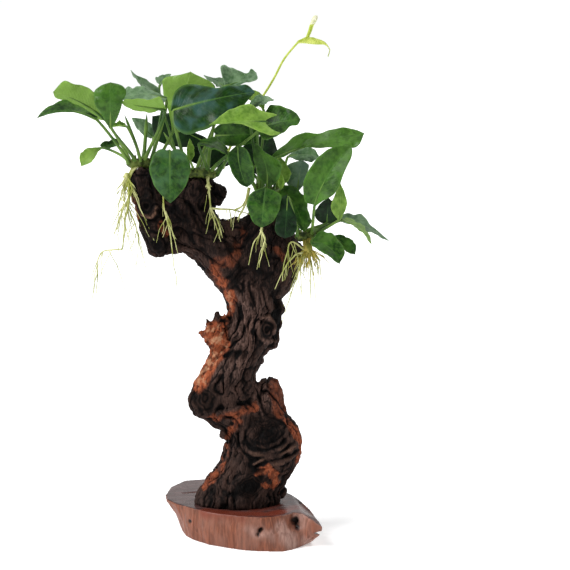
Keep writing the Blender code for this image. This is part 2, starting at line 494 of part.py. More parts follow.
def driftwood():
    """The whole driftwood as one rough body."""
    parts = [level_body("trunk_part", TRUNK_LEVELS), level_body("right_part", RIGHT_LEVELS)]
    for path in (MIDDLE_LIMB, LEFT_LIMB, LIMB_BRIDGE, KNOB, FOOT_LEFT, FOOT_RIGHT):
        parts.append(limb_body("limb_part", path))
    for numbers in SWELLINGS:
        parts.append(swelling_body("swelling_part", *numbers))
    for tip in BURL_TEETH:
        parts.append(tooth_body("tooth_part", tip))
    wood = join(parts, "wood")
    remesh = wood.modifiers.new("remesh", "REMESH")
    remesh.mode = "VOXEL"
    remesh.voxel_size = WOOD_VOXEL
    apply_modifiers(wood)
    for vert in wood.data.vertices:
        vert.co += vert.normal * rough_grain(vert.co) * GRAIN_DEPTH
    smooth = wood.modifiers.new("smooth", "SMOOTH")
    smooth.iterations = 2
    shrink = wood.modifiers.new("shrink", "DECIMATE")
    shrink.ratio = WOOD_TRIANGLES / (2 * len(wood.data.polygons))
    apply_modifiers(wood)
    return wood


def cut_off(source, name, look, planes):
    """The part of the source behind every plane, each given as point, direction and side."""
    bm = bmesh.new()
    bm.from_mesh(source.data)
    for (point, direction), side in planes:
        way = Vector(direction).normalized() * side
        edge = vector_mm(point) - way * GAP / 2
        geometry = bm.verts[:] + bm.edges[:] + bm.faces[:]
        bmesh.ops.bisect_plane(bm, geom=geometry, dist=1e-7, plane_co=edge, plane_no=way, clear_outer=True)
        bmesh.ops.holes_fill(bm, edges=[e for e in bm.edges if e.is_boundary], sides=0)
        bmesh.ops.triangulate(bm, faces=[f for f in bm.faces if len(f.verts) > 4])
    return add_object(name, bm, look, smooth=False)


def subtract(item, cutters):
    for cutter in cutters:
        step = item.modifiers.new("cut", "BOOLEAN")
        step.operation = "DIFFERENCE"
        step.solver = "EXACT"
        step.object = cutter
    apply_modifiers(item)


def level_floor(item, height):
    """Flattens the wood's foot at a height."""
    bm = bmesh.new()
    bm.from_mesh(item.data)
    geometry = bm.verts[:] + bm.edges[:] + bm.faces[:]
    place, way = (0, 0, height), (0, 0, -1)
    bmesh.ops.bisect_plane(bm, geom=geometry, dist=1e-7, plane_co=place, plane_no=way, clear_outer=True)
    bmesh.ops.holes_fill(bm, edges=[e for e in bm.edges if e.is_boundary], sides=0)
    bm.to_mesh(item.data)
    bm.free()


def build_driftwood():
    bark = material("driftwood", (0.12, 0.06, 0.04), 0.75)
    wood = driftwood()
    level_floor(wood, SLAB_TOP + GAP)
    seats = [rhizome_object(f"seat_{key}", key, GAP) for key in RHIZOMES]
    below, above = 1, -1
    cut_off(wood, "driftwood_trunk", bark, [(TRUNK_CUT, below)])
    base, fork = (TRUNK_CUT, above), (FORK_CUT, below)
    right = cut_off(wood, "driftwood_limb_right", bark, [base, (FORK_CUT, above)])
    middle = cut_off(wood, "driftwood_limb_middle", bark, [base, fork, (LEFT_CUT, above)])
    left = cut_off(wood, "driftwood_limb_left", bark, [base, fork, (LEFT_CUT, below)])
    for limb in (right, middle, left):
        subtract(limb, seats)
    for item in (wood, *seats):
        bpy.data.objects.remove(item, do_unlink=True)


def build_slab():
    """The slab: flat below and on top, drawn in towards the underside, with one low tip at the right."""
    high = SLAB_TOP / MM
    rings = [[vector_mm((x, y, 0)) for x, y in SLAB_BOTTOM], [vector_mm((x, y, 13)) for x, y in SLAB_MIDDLE]]
    for share, height in ((1, high - 1), (0.985, high)):
        low = [height - SLAB_LOW_TIP.get(i, 0) for i in range(len(SLAB_TOP_EDGE))]
        rings.append([vector_mm((x * share, y * share, z)) for (x, y), z in zip(SLAB_TOP_EDGE, low)])
    add_object("base_slab", skin_rings(rings), material("slab", (0.42, 0.18, 0.10), 0.35), smooth=False)


def rhizome_axis(key, along):
    start, end, _ = RHIZOMES[key]
    sag = Vector((0, 0, 1.2 * MM * math.sin(math.pi * along)))
    return vector_mm(start).lerp(vector_mm(end), along) + sag


def rhizome_radius(key, along):
    """Knuckles along the rhizome and a taper at both ends."""
    ends = 1 - 0.45 * abs(2 * along - 1) ** 4
    return RHIZOMES[key][2] * MM * ends * (1 + 0.05 * math.cos(along * 30))


def rhizome_object(name, key, grown=0, look=None):
    steps = [i / 6 for i in range(7)]
    points = [rhizome_axis(key, s) for s in steps]
    reach = (points[-1] - points[0]).normalized() * grown
    points[0] -= reach
    points[-1] += reach
    stem = add_object(name, tube(points, [rhizome_radius(key, s) + grown for s in steps], 6), look)
    if not grown:
        grow_together(stem, BARE_STALKS[key])
    return stem


def petiole_start(key, along, around):
    """A point just off the rhizome: around is 0 at the back, 90 on top and 180 at the front."""
    start, end, _ = RHIZOMES[key]
    axis = (vector_mm(end) - vector_mm(start)).normalized()
    back = (Vector((0, 0, 1)).cross(axis)).normalized()
    up = axis.cross(back)
    angle = math.radians(around)
    out = back * math.cos(angle) + up * math.sin(angle)
    place = min(max(along, 0.04), 0.96)
    return rhizome_axis(key, place) + out * (rhizome_radius(key, place) + 1.6 * MM), out


def bezier(a, b, c, d, count):
    found = []
    for i in range(count):
        t = i / count
        found.append(a * (1 - t) ** 3 + b * 3 * t * (1 - t) ** 2 + c * 3 * t * t * (1 - t) + d * t**3)
    return found


def blade_rings(base, tip, width, face, arch, sway, cup, form):
    """Six-point rings from the blade's base to its tip, and the way the blade starts."""
    reach = tip - base
    side = reach.cross(face).normalized()
    up = side.cross(reach).normalized()
    rings = []
    for t, left, right, sweep in FORMS[form]:
        ring = []
        middle = base + reach * t + (up * arch + side * sway) * 4 * t * (1 - t)
        for s, high in ((-1, 0), (-0.45, 1), (0.45, 1), (1, 0), (0.45, -1), (-0.45, -1)):
            wide = left if s < 0 else right
            spot = middle - reach * sweep * s * s + side * s * wide * width / 2 + up * cup * wide * s * s
            ring.append(spot + up * high * BLADE_THICKNESS / 2)
        rings.append(ring)
    return rings, side, (reach + (up * arch + side * sway) * 4).normalized()


def build_leaf(name, key, along, around, base, tip, width, face, arch, sway, cup, form, look):
    """One leaf: the stalk from its rhizome and the blade."""
    base, tip = vector_mm(base), vector_mm(tip)
    blade, side, ahead = blade_rings(base, tip, width * MM, Vector(face), arch * MM, sway * MM, cup * MM, form)
    root, out = petiole_start(key, along, around)
    reach = (base - root).length
    steps = 3 if form == "small" else 4
    path = bezier(root, root + out * reach * 0.12, base - ahead * reach * 0.12, base, steps)[::-1]
    stalk = []
    for point, (way, across) in zip([base, *path], frames_along([base, *path], side)):
        up = way.cross(across)
        ring = ((-1, 0), (-0.5, 0.87), (0.5, 0.87), (1, 0), (0.5, -0.87), (-0.5, -0.87))
        stalk.append([point + (across * a + up * b) * PETIOLE_RADIUS for a, b in ring])
    add_object(name, skin_rings(stalk[::-1] + blade), material(f"leaf_{look}", LEAF_COLOURS[look], 0.35))


def build_flower():
    green = material("flower_stalk", (0.35, 0.45, 0.06), 0.4)
    points = [vector_mm(p) for p in FLOWER_STALK]
    add_object("flower_stalk", tube(points, [STALK_RADIUS * MM] * len(points), 6), green)
    base, tip, face = vector_mm(SPATHE_BASE), vector_mm(SPATHE_TIP), Vector((0.1, -0.4, 1))
    blade, _, _ = blade_rings(base, tip, 12 * MM, face, 0.5 * MM, 0, 4.5 * MM, "oval")
    for ring, drop in zip(blade[-2:], (1, 9)):
        ring[:] = [point - Vector((0, 0, drop * MM)) for point in ring]
    add_object("flower_spathe", skin_rings(blade), green)
    points = [vector_mm(p) for p in SPADIX]
    white = material("spadix", (0.8, 0.78, 0.55), 0.6)
    add_object("flower_spadix", tube(points, [p[3] * MM for p in SPADIX], 8), white)


def grow_together(whole, strands):
    """Joins three-sided strands, each given as points and a radius, to a body."""
    parts = []
    for strand in strands:
        points = [vector_mm(p) for p in strand[:-1]]
        radii = [strand[-1] * MM] * (len(points) - 1) + [strand[-1] * MM * 0.5]
        parts.append(add_object(f"{whole.name}_part", tube(points, radii, 3)))
    for part in parts:
        step = whole.modifiers.new("join", "BOOLEAN")
        step.operation = "UNION"
        step.solver = "EXACT"
        step.object = part
    apply_modifiers(whole)
    for part in parts:
        bpy.data.objects.remove(part, do_unlink=True)


def build_roots(name, crown, strands):
    """A crown with its strands as one body."""
    x, y, z, radius = crown
    whole = swelling_body(name, x, y, z, radius, radius, radius)
    grow_together(whole, strands)
    whole.data.materials.clear()
    whole.data.materials.append(material("root", ROOT_COLOUR, 0.6))


def main():
    clear_scene()
    build_slab()
    build_driftwood()
    rhizome_look = material("rhizome", (0.13, 0.14, 0.04), 0.6)
    for key in RHIZOMES:
        rhizome_object(f"rhizome_{key}", key, 0, rhizome_look)
    for key, leaves in LEAVES.items():
        for name, numbers in leaves.items():
            build_leaf(f"leaf_{name}", key, *numbers)
    build_flower()
    for name, (crown, strands) in ROOTS.items():
        build_roots(name, crown, strands)


main()
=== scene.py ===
"""Looks of an anubias nana with a flower and long roots, grown on branching driftwood that stands on a wooden slab.

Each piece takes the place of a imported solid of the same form. Lengths in the tables are millimetres, +Z is up and the
viewer stands on the -Y side.
"""

import logging
import math
import random
from dataclasses import dataclass, field
from enum import Enum
from typing import Iterable, Optional, Sequence, Union

import bpy
import numpy as np
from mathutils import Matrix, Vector


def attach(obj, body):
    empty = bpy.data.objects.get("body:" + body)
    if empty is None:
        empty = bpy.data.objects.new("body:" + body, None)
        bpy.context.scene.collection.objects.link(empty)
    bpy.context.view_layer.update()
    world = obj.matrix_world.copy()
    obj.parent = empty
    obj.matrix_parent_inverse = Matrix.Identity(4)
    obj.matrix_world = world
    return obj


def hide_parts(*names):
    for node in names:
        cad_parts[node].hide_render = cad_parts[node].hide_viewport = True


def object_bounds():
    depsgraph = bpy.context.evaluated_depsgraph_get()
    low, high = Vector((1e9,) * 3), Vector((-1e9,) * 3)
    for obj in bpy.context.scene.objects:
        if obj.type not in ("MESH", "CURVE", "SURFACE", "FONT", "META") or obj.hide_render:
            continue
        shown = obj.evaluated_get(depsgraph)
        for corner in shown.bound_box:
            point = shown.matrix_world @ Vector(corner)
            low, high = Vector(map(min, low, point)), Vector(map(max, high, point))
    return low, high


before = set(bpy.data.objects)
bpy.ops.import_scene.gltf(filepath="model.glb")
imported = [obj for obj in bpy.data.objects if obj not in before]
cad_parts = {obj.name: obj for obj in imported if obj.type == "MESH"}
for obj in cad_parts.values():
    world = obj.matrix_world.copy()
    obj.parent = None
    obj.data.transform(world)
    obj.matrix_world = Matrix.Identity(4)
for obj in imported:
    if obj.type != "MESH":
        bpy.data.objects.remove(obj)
cad_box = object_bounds()

log = logging.getLogger("anubias_nana")

MM = 0.001
BODY = "root"
MERGE_DISTANCE = 0.01
Point = tuple[float, float, float]
Colour = tuple[float, float, float]
Piece = bpy.types.Object
Material = bpy.types.Material
Socket = bpy.types.NodeSocket
Value = Union[Socket, float, Sequence[float]]


# Tools shared by all pieces


class Noise:
    """Smooth repeatable noise, worked out for many points at once."""

    PRIMES = (374761393, 668265263, 2147483647)
    SEED_STEP = 97463
    SCRAMBLE = 1274126177
    KEEP = 0xFFFF

    def __init__(self, seed: int) -> None:
        """Args:
            seed: picks one of many patterns.
        """
        self.seed = seed

    def __call__(self, points: np.ndarray) -> np.ndarray:
        """Args:
            points: rows of three coordinates, with one cell of the pattern to a unit.

        Returns:
            One value from -1 to 1 for each point.
        """
        cell = np.floor(points).astype(np.int64)
        part = points - cell
        fade = part**3 * (part * (part * 6 - 15) + 10)
        total = np.zeros(len(points))
        for corner in range(8):
            step = np.array((corner & 1, corner >> 1 & 1, corner >> 2))
            at = cell + step
            key = sum(at[:, axis] * prime for axis, prime in enumerate(self.PRIMES)) + self.seed * self.SEED_STEP
            key = (key ^ (key >> 13)) * self.SCRAMBLE
            key ^= key >> 16
            share = np.prod(np.where(step == 1, fade, 1 - fade), axis=1)
            total += ((key & self.KEEP) / (self.KEEP / 2) - 1) * share
        return total


def layered(points: np.ndarray, *layers: tuple[float, int, Union[float, Point]]) -> np.ndarray:
    """Returns layers of noise added up, each given by its height, its seed and how large its features are."""
    return sum(height * Noise(seed)(points / size) for height, seed, size in layers)


def smooth_step(low: float, high: float, value: np.ndarray) -> np.ndarray:
    """Returns 0 below low, 1 above high and a soft rise between them."""
    t = np.clip((value - low) / (high - low), 0, 1)
    return t * t * (3 - 2 * t)


def bell(distance: np.ndarray, reach: float) -> np.ndarray:
    """Returns 1 at no distance and a soft fall to almost nothing at twice the reach."""
    return np.exp(-((distance / reach) ** 2))


def distance_to_path(points: np.ndarray, path: Sequence[Point]) -> np.ndarray:
    """Args:
        points: rows of three coordinates.
        path: one point, or the corners of a line.

    Returns:
        How far each point is from the path.
    """
    corners = [np.array(corner, float) for corner in path]
    found = np.linalg.norm(points - corners[0], axis=1)
    for start, end in zip(corners, corners[1:]):
        way = end - start
        share = np.clip((points - start) @ way / (way @ way), 0, 1)
        found = np.minimum(found, np.linalg.norm(points - start - share[:, None] * way, axis=1))
    return found


def along_path(points: np.ndarray, path: Sequence[Point]) -> tuple[np.ndarray, np.ndarray]:
    """Args:
        points: rows of three coordinates.
        path: the corners of a line.

    Returns:
        How far each point is from the path, and its place beside, behind and along it.
    """
    corners = [np.array(corner, float) for corner in path]
    nearest, place, run = np.full(len(points), np.inf), np.zeros((len(points), 3)), 0.0
    for start, end in zip(corners, corners[1:]):
        length = np.linalg.norm(end - start)
        way = (end - start) / length
        share = np.clip((points - start) @ way, 0, length)
        off = points - start - share[:, None] * way
        far = np.linalg.norm(off, axis=1)
        local = np.column_stack((off[:, 0] * way[2] - off[:, 2] * way[0], off[:, 1], run + share))
        closer = far < nearest
        place[closer], nearest[closer] = local[closer], far[closer]
        run += length
    return nearest, place


def curve_through(points: Sequence[Sequence[float]], steps: int) -> np.ndarray:
    """Args:
        points: the corners of a path, of any number of coordinates.
        steps: how many points to each span.

    Returns:
        Points of a smooth curve through all the corners.
    """
    rows = np.array(points, float)
    rows = np.vstack((2 * rows[0] - rows[1], rows, 2 * rows[-1] - rows[-2]))
    found = []
    for a, b, c, d in zip(rows, rows[1:], rows[2:], rows[3:]):
        for t in np.arange(steps) / steps:
            square, cube = 2 * a - 5 * b + 4 * c - d, 3 * b - a - 3 * c + d
            found.append(0.5 * (2 * b + (c - a) * t + square * t**2 + cube * t**3))
    return np.array([*found, rows[-2]])


def pick(*pieces: Piece) -> None:
    """Selects only these pieces and makes the first one active.

    Args:
        pieces: what is selected.
    """
    bpy.ops.object.select_all(action="DESELECT")
    for piece in pieces:
        piece.select_set(True)
    if pieces:
        bpy.context.view_layer.objects.active = pieces[0]


def newest(name: str) -> Piece:
    """Args:
        name: the object's new name.

    Returns:
        The object that an operator has just made, under this name.
    """
    piece = bpy.context.view_layer.objects.active
    piece.name = piece.data.name = name
    return piece


def join(name: str, pieces: Sequence[Piece]) -> Piece:
    """Args:
        name: the joined piece's name.
        pieces: what is joined.

    Returns:
        All of them as one, with its place in its mesh.
    """
    pick(*pieces)
    if len(pieces) > 1:
        bpy.ops.object.join()
    bpy.ops.object.transform_apply(location=True, rotation=True, scale=True)
    return newest(name)


def apply_modifier(piece: Piece, kind: str, **settings: object) -> None:
    """Adds a modifier and applies it.

    Args:
        piece: what it works on.
        kind: the modifier's type.
        settings: its settings by name.
    """
    modifier = piece.modifiers.new(kind.lower(), kind)
    for key, value in settings.items():
        setattr(modifier, key, value)
    pick(piece)
    bpy.ops.object.modifier_apply(modifier=modifier.name)


def read_points(piece: Piece) -> np.ndarray:
    """Args:
        piece: the piece to read.

    Returns:
        Its vertices in millimetres, one row each.
    """
    flat = np.empty(len(piece.data.vertices) * 3, np.float32)
    piece.data.vertices.foreach_get("co", flat)
    return flat.reshape(-1, 3).astype(float) / MM


def read_normals(piece: Piece) -> np.ndarray:
    """Args:
        piece: the piece to read.

    Returns:
        The way each vertex faces, one row each.
    """
    flat = np.empty(len(piece.data.vertices) * 3, np.float32)
    piece.data.vertex_normals.foreach_get("vector", flat)
    return flat.reshape(-1, 3).astype(float)


def write_points(piece: Piece, points: np.ndarray) -> None:
    """Moves the piece's vertices to these places in millimetres."""
    piece.data.vertices.foreach_set("co", (points * MM).astype(np.float32).ravel())
    piece.data.update()


def roughen(piece: Piece, *layers: tuple[float, int, Union[float, Point]]) -> None:
    """Moves the piece's surface in and out by layers of noise."""
    points = read_points(piece)
    write_points(piece, points + read_normals(piece) * layered(points, *layers)[:, None])


def write_marks(piece: Piece, **marks: Union[np.ndarray, float]) -> None:
    """Stores values on the vertices, which the materials read.

    Args:
        piece: where they are stored.
        marks: the values by name, one for each vertex or one for all.
    """
    for name, values in marks.items():
        attribute = piece.data.attributes.new(name, "FLOAT", "POINT")
        attribute.data.foreach_set("value", np.broadcast_to(values, len(piece.data.vertices)).astype(np.float32))


def dress(piece: Piece, *materials: Material) -> Piece:
    """Args:
        piece: the piece to dress.
        materials: its materials, in their order.

    Returns:
        The same piece.
    """
    for material in materials:
        piece.data.materials.append(material)
    return piece


def plate(name: str, long: int, wide: int) -> tuple[Piece, np.ndarray, np.ndarray]:
    """Args:
        name: the new piece's name.
        long: how many faces it has lengthwise.
        wide: how many faces it has crosswise.

    Returns:
        A flat grid, and each vertex's share along it from 0 to 1 and across it from -1 to 1.
    """
    bpy.ops.object.select_all(action="DESELECT")
    bpy.ops.mesh.primitive_grid_add(x_subdivisions=long, y_subdivisions=wide, size=2)
    piece = newest(name)
    flat = read_points(piece) * MM
    return piece, (flat[:, 0] + 1) / 2, -flat[:, 1]


def copy_nodes(name: str, nodes: Iterable[str]) -> Piece:
    """Args:
        name: the copy's name.
        nodes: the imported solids.

    Returns:
        A copy of them as one piece, with its loose triangles merged.
    """
    copies = []
    for node in nodes:
        copied = bpy.data.objects.new(name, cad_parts[node].data.copy())
        bpy.context.scene.collection.objects.link(copied)
        copied.data.materials.clear()
        copies.append(copied)
    piece = join(name, copies)
    bpy.ops.object.mode_set(mode="EDIT")
    bpy.ops.mesh.select_all(action="SELECT")
    bpy.ops.mesh.remove_doubles(threshold=MERGE_DISTANCE * MM)
    bpy.ops.object.mode_set(mode="OBJECT")
    return piece


def tubes(name: str, strands: Sequence[np.ndarray], sides: int = 8) -> Piece:
    """Args:
        name: the new piece's name.
        strands: for each tube its points as rows of x, y, z and radius.
        sides: how many faces go round a tube.

    Returns:
        A mesh of closed tubes.
    """
    bpy.ops.object.select_all(action="DESELECT")
    bpy.ops.curve.primitive_nurbs_path_add()
    piece = newest(name)
    curve = piece.data
    curve.splines.clear()
    curve.dimensions = "3D"
    curve.bevel_depth = MM
    curve.bevel_resolution = max(0, sides // 2 - 2)
    curve.use_fill_caps = True
    for strand in strands:
        spline = curve.splines.new("POLY")
        spline.points.add(len(strand) - 1)
        for point, (x, y, z, radius) in zip(spline.points, strand):
            point.co = (x * MM, y * MM, z * MM, 1)
            point.radius = radius
    pick(piece)
    bpy.ops.object.convert(target="MESH")
    bpy.ops.object.shade_smooth()
    return newest(name)


def finish_piece(piece: Piece, slot: str, *nodes: str) -> Piece:
    """Keeps a finished piece inside the solids' box and ties it to the body.

    Args:
        piece: the finished piece.
        slot: the slot that it fills; not used.
        nodes: the nodes that it stands for.

    Returns:
        The same piece.
    """
    low, high = (np.array(corner) / MM for corner in cad_box)
    write_points(piece, np.clip(read_points(piece), low, high))
    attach(piece, BODY)
    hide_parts(*nodes)
    return piece


class Recipe:
    """A node material, put together one step at a time on object coordinates."""

    def __init__(self, name: str) -> None:
        """Args:
            name: the material's name.
        """
        self.material = bpy.data.materials.new(name)
        self.material.use_nodes = True
        self.tree = self.material.node_tree
        self.shader = self.tree.nodes["Principled BSDF"]
        self.place = self.add("TexCoord").outputs["Object"]

    def add(self, kind: str, values: Optional[dict] = None, **settings: object) -> bpy.types.Node:
        """Args:
            kind: the node's type.
            values: its input values or links.
            settings: its settings by name.

        Returns:
            The new node.
        """
        node = self.tree.nodes.new(f"ShaderNode{kind}")
        for key, value in settings.items():
            setattr(node, key, value)
        for key, value in (values or {}).items():
            self.feed(node.inputs[key], value)
        return node

    def feed(self, socket: Socket, value: Value) -> None:
        """Links a socket to another one or sets its value.

        Args:
            socket: the input.
            value: an output, a number or a colour.
        """
        if isinstance(value, Socket):
            self.tree.links.new(value, socket)
        elif isinstance(value, tuple) and len(value) == 3 and socket.type == "RGBA":
            socket.default_value = (*value, 1)
        else:
            socket.default_value = value

    def noise(self, size: float, detail: float = 3, stretch: Point = (1, 1, 1), warp: float = 0) -> Socket:
        """Args:
            size: how large its features are, in millimetres.
            detail: how many finer layers it has.
            stretch: above 1 along an axis where the features are longer.
            warp: how far they are bent.

        Returns:
            Noise on the object's coordinates.
        """
        shrink = tuple(1 / share for share in stretch)
        place = self.add("Mapping", {"Vector": self.place, "Scale": shrink}).outputs["Vector"]
        values = {"Vector": place, "Scale": 1 / (size * MM), "Detail": detail, "Distortion": warp}
        return self.add("TexNoise", values).outputs["Fac"]

    def mark(self, name: str) -> Socket:
        """Returns the values that the piece stores under this name."""
        return self.add("Attribute", attribute_name=name).outputs["Fac"]

    def maths(self, operation: str, first: Value, second: Value = 0.0) -> Socket:
        """Returns the outcome of one sum on two sockets or numbers."""
        return self.add("Math", {0: first, 1: second}, operation=operation).outputs[0]

    def times(self, first: Value, second: Value) -> Socket:
        """Returns the product of two sockets or numbers."""
        return self.maths("MULTIPLY", first, second)

    def fit(self, value: Value, low: float, high: float, to_low: float = 0.0, to_high: float = 1.0) -> Socket:
        """Returns the value moved from one range to another and kept inside it."""
        values = {0: value, 1: low, 2: high, 3: to_low, 4: to_high}
        return self.add("MapRange", values, interpolation_type="SMOOTHSTEP").outputs[0]

    def mix(self, share: Value, first: Value, second: Value) -> Socket:
        """Returns a colour between two colours."""
        return self.add("Mix", {0: share, 6: first, 7: second}, data_type="RGBA").outputs[2]

    def coats(self, colour: Value, *coats: tuple[Value, Value]) -> Value:
        """Args:
            colour: what lies at the bottom.
            coats: how much each coat covers, and its colour.

        Returns:
            The colour with the coats laid over it in turn.
        """
        for share, coat in coats:
            colour = self.mix(share, colour, coat)
        return colour

    def bump(self, height: Value, depth: float, below: Optional[Socket] = None) -> Socket:
        """Args:
            height: the relief.
            depth: how deep it is, in millimetres.
            below: the surface direction that it lies on.

        Returns:
            A surface direction.
        """
        values = {"Height": height, "Distance": depth * MM, "Strength": 1.0}
        if below:
            values["Normal"] = below
        return self.add("Bump", values).outputs["Normal"]

    def shade(self, **inputs: Value) -> Material:
        """Args:
            inputs: the shader's inputs by name, with _ for a space.

        Returns:
            The finished material.
        """
        for key, value in inputs.items():
            self.feed(self.shader.inputs[key.replace("_", " ")], value)
        return self.material


# Finishes


class Look(Enum):
    """The age of a leaf, which sets its colours and its slot. DARK is the deep green darkened with painted shade,
    for leaves in shadow behind others, and PALE a paler green with a painted grey-white sheen.
    """

    DEEP = "leaf_deep"
    DARK = "leaf_dark"
    YOUNG = "leaf_young"
    PALE = "leaf_pale"


DEEP, DARK, YOUNG, PALE = Look

# Side veins, in the leaf's colour and in its form: half waves from foot to tip, and how they bow towards the tip
VEINS = 15
VEIN_BOW = 0.30
VEIN_CURVE = 1.25


@dataclass(frozen=True)
class LeafFinish:
    """The colours of one age of leaf."""

    look: Look
    # shadow and light are painted shade and painted light over the leaf's green; middle lies between them
    shadow: Colour
    middle: Colour
    light: Colour
    under: Colour
    rib: Colour
    painted_sheen_colour: Colour = (0.032, 0.085, 0.075)
    roughness: float = 0.33
    gloss: float = 0.17

    def blade(self, upper: bool) -> Material:
        """Args:
            upper: whether this is the upper face.

        Returns:
            A waxy green with a paler midrib, side veins that bow towards the tip and soft blotches; on the upper face,
            patches of painted light and painted shade, a painted blue sheen and paler margins with a painted backlit
            glow.
        """
        recipe = Recipe(f"{self.look.value}_{'upper' if upper else 'under'}")
        split = recipe.add("SeparateXYZ", {0: recipe.add("UVMap", uv_map="blade").outputs["UV"]})
        along, across = split.outputs["X"], split.outputs["Y"]
        off = recipe.maths("ABSOLUTE", recipe.maths("SUBTRACT", recipe.times(across, 2.0), 1.0))
        bow = recipe.times(recipe.maths("POWER", off, VEIN_CURVE), VEIN_BOW)
        run = recipe.maths("ADD", recipe.maths("SUBTRACT", along, bow), recipe.times(recipe.noise(9, 2), 0.11))
        crest = recipe.maths("ABSOLUTE", recipe.maths("COSINE", recipe.times(run, VEINS * math.pi)))
        vein = recipe.times(recipe.maths("POWER", crest, 14), recipe.fit(off, 0.96, 0.75))
        rib = recipe.fit(recipe.times(off, recipe.fit(along, 0, 1, 0.7, 2.2)), 0.085, 0.03)
        blotch = recipe.fit(recipe.noise(9, 4, warp=0.6), 0.42, 0.62)
        if upper:
            tint = recipe.mark("tint")
            sheen_fleck = recipe.fit(recipe.noise(2.6, 3), 0.35, 0.7)
            shade = recipe.fit(recipe.noise(5.5, 4, warp=0.8), 0.50, 0.66)
            cloud = recipe.fit(recipe.noise(15, 2, warp=0.4), 0.42, 0.68)
            # Upper face: blotches, sheen flecks, light clouds and shade patches lay painted light and painted shade
            # over the green
            colour = recipe.coats(
                recipe.mix(blotch, self.shadow, self.middle),
                (recipe.times(sheen_fleck, 0.34), self.light),
                (recipe.times(cloud, 0.55), self.light),
                # The tint is the leaf's own tone, with painted light above 0 and painted shade below 0
                (recipe.fit(tint, 0, 1, 0, 0.85), self.light),
                (recipe.times(shade, 0.38), self.shadow),
                (recipe.fit(tint, 0, -1, 0, 0.9), self.shadow),
                (recipe.times(vein, 0.08), self.rib),
                # Painted blue sheen, in the light clouds
                (recipe.times(recipe.mark("chill"), cloud), self.painted_sheen_colour),
                # Paler margins: a lighter leaf edge and a painted backlit glow
                (recipe.times(recipe.fit(off, 0.84, 1.0), 0.45), self.light),
                (recipe.times(rib, 0.55), self.rib),
            )
        else:
            colour = recipe.coats(
                recipe.mix(recipe.times(blotch, 0.45), self.under, self.middle),
                (recipe.times(vein, 0.25), self.rib),
                (recipe.times(rib, 0.8), self.rib),
            )
        skin = recipe.bump(recipe.noise(1.1, 4), 0.10)
        soft = recipe.bump(recipe.noise(8, 1), 0.9, skin)
        relief = recipe.bump(recipe.maths("ADD", recipe.times(vein, -0.6), rib), 0.09, soft)
        rough = recipe.fit(blotch, 0, 1, self.roughness + 0.12, self.roughness)
        return recipe.shade(Base_Color=colour, Roughness=rough, Normal=relief, Specular_IOR_Level=self.gloss)


@dataclass(frozen=True)
class SkinFinish:
    """A plain plant skin in two colours, for stalks, rhizomes, roots and the flower."""

    name: str
    dark: Colour
    light: Colour
    grain: float
    stretch: Point = (1, 1, 1)
    roughness: float = 0.45
    relief: float = 0.06

    def material(self) -> Material:
        """Returns:
            A skin that changes softly between the two colours.
        """
        recipe = Recipe(self.name)
        patch = recipe.fit(recipe.noise(self.grain, 3, self.stretch), 0.34, 0.66)
        colour = recipe.mix(patch, self.dark, self.light)
        fine = recipe.noise(self.grain * 0.25, 4, self.stretch)
        rough = recipe.fit(fine, 0.3, 0.7, self.roughness, self.roughness + 0.2)
        bumps = recipe.bump(fine, self.relief)
        return recipe.shade(Base_Color=colour, Roughness=rough, Normal=bumps, Specular_IOR_Level=0.25)


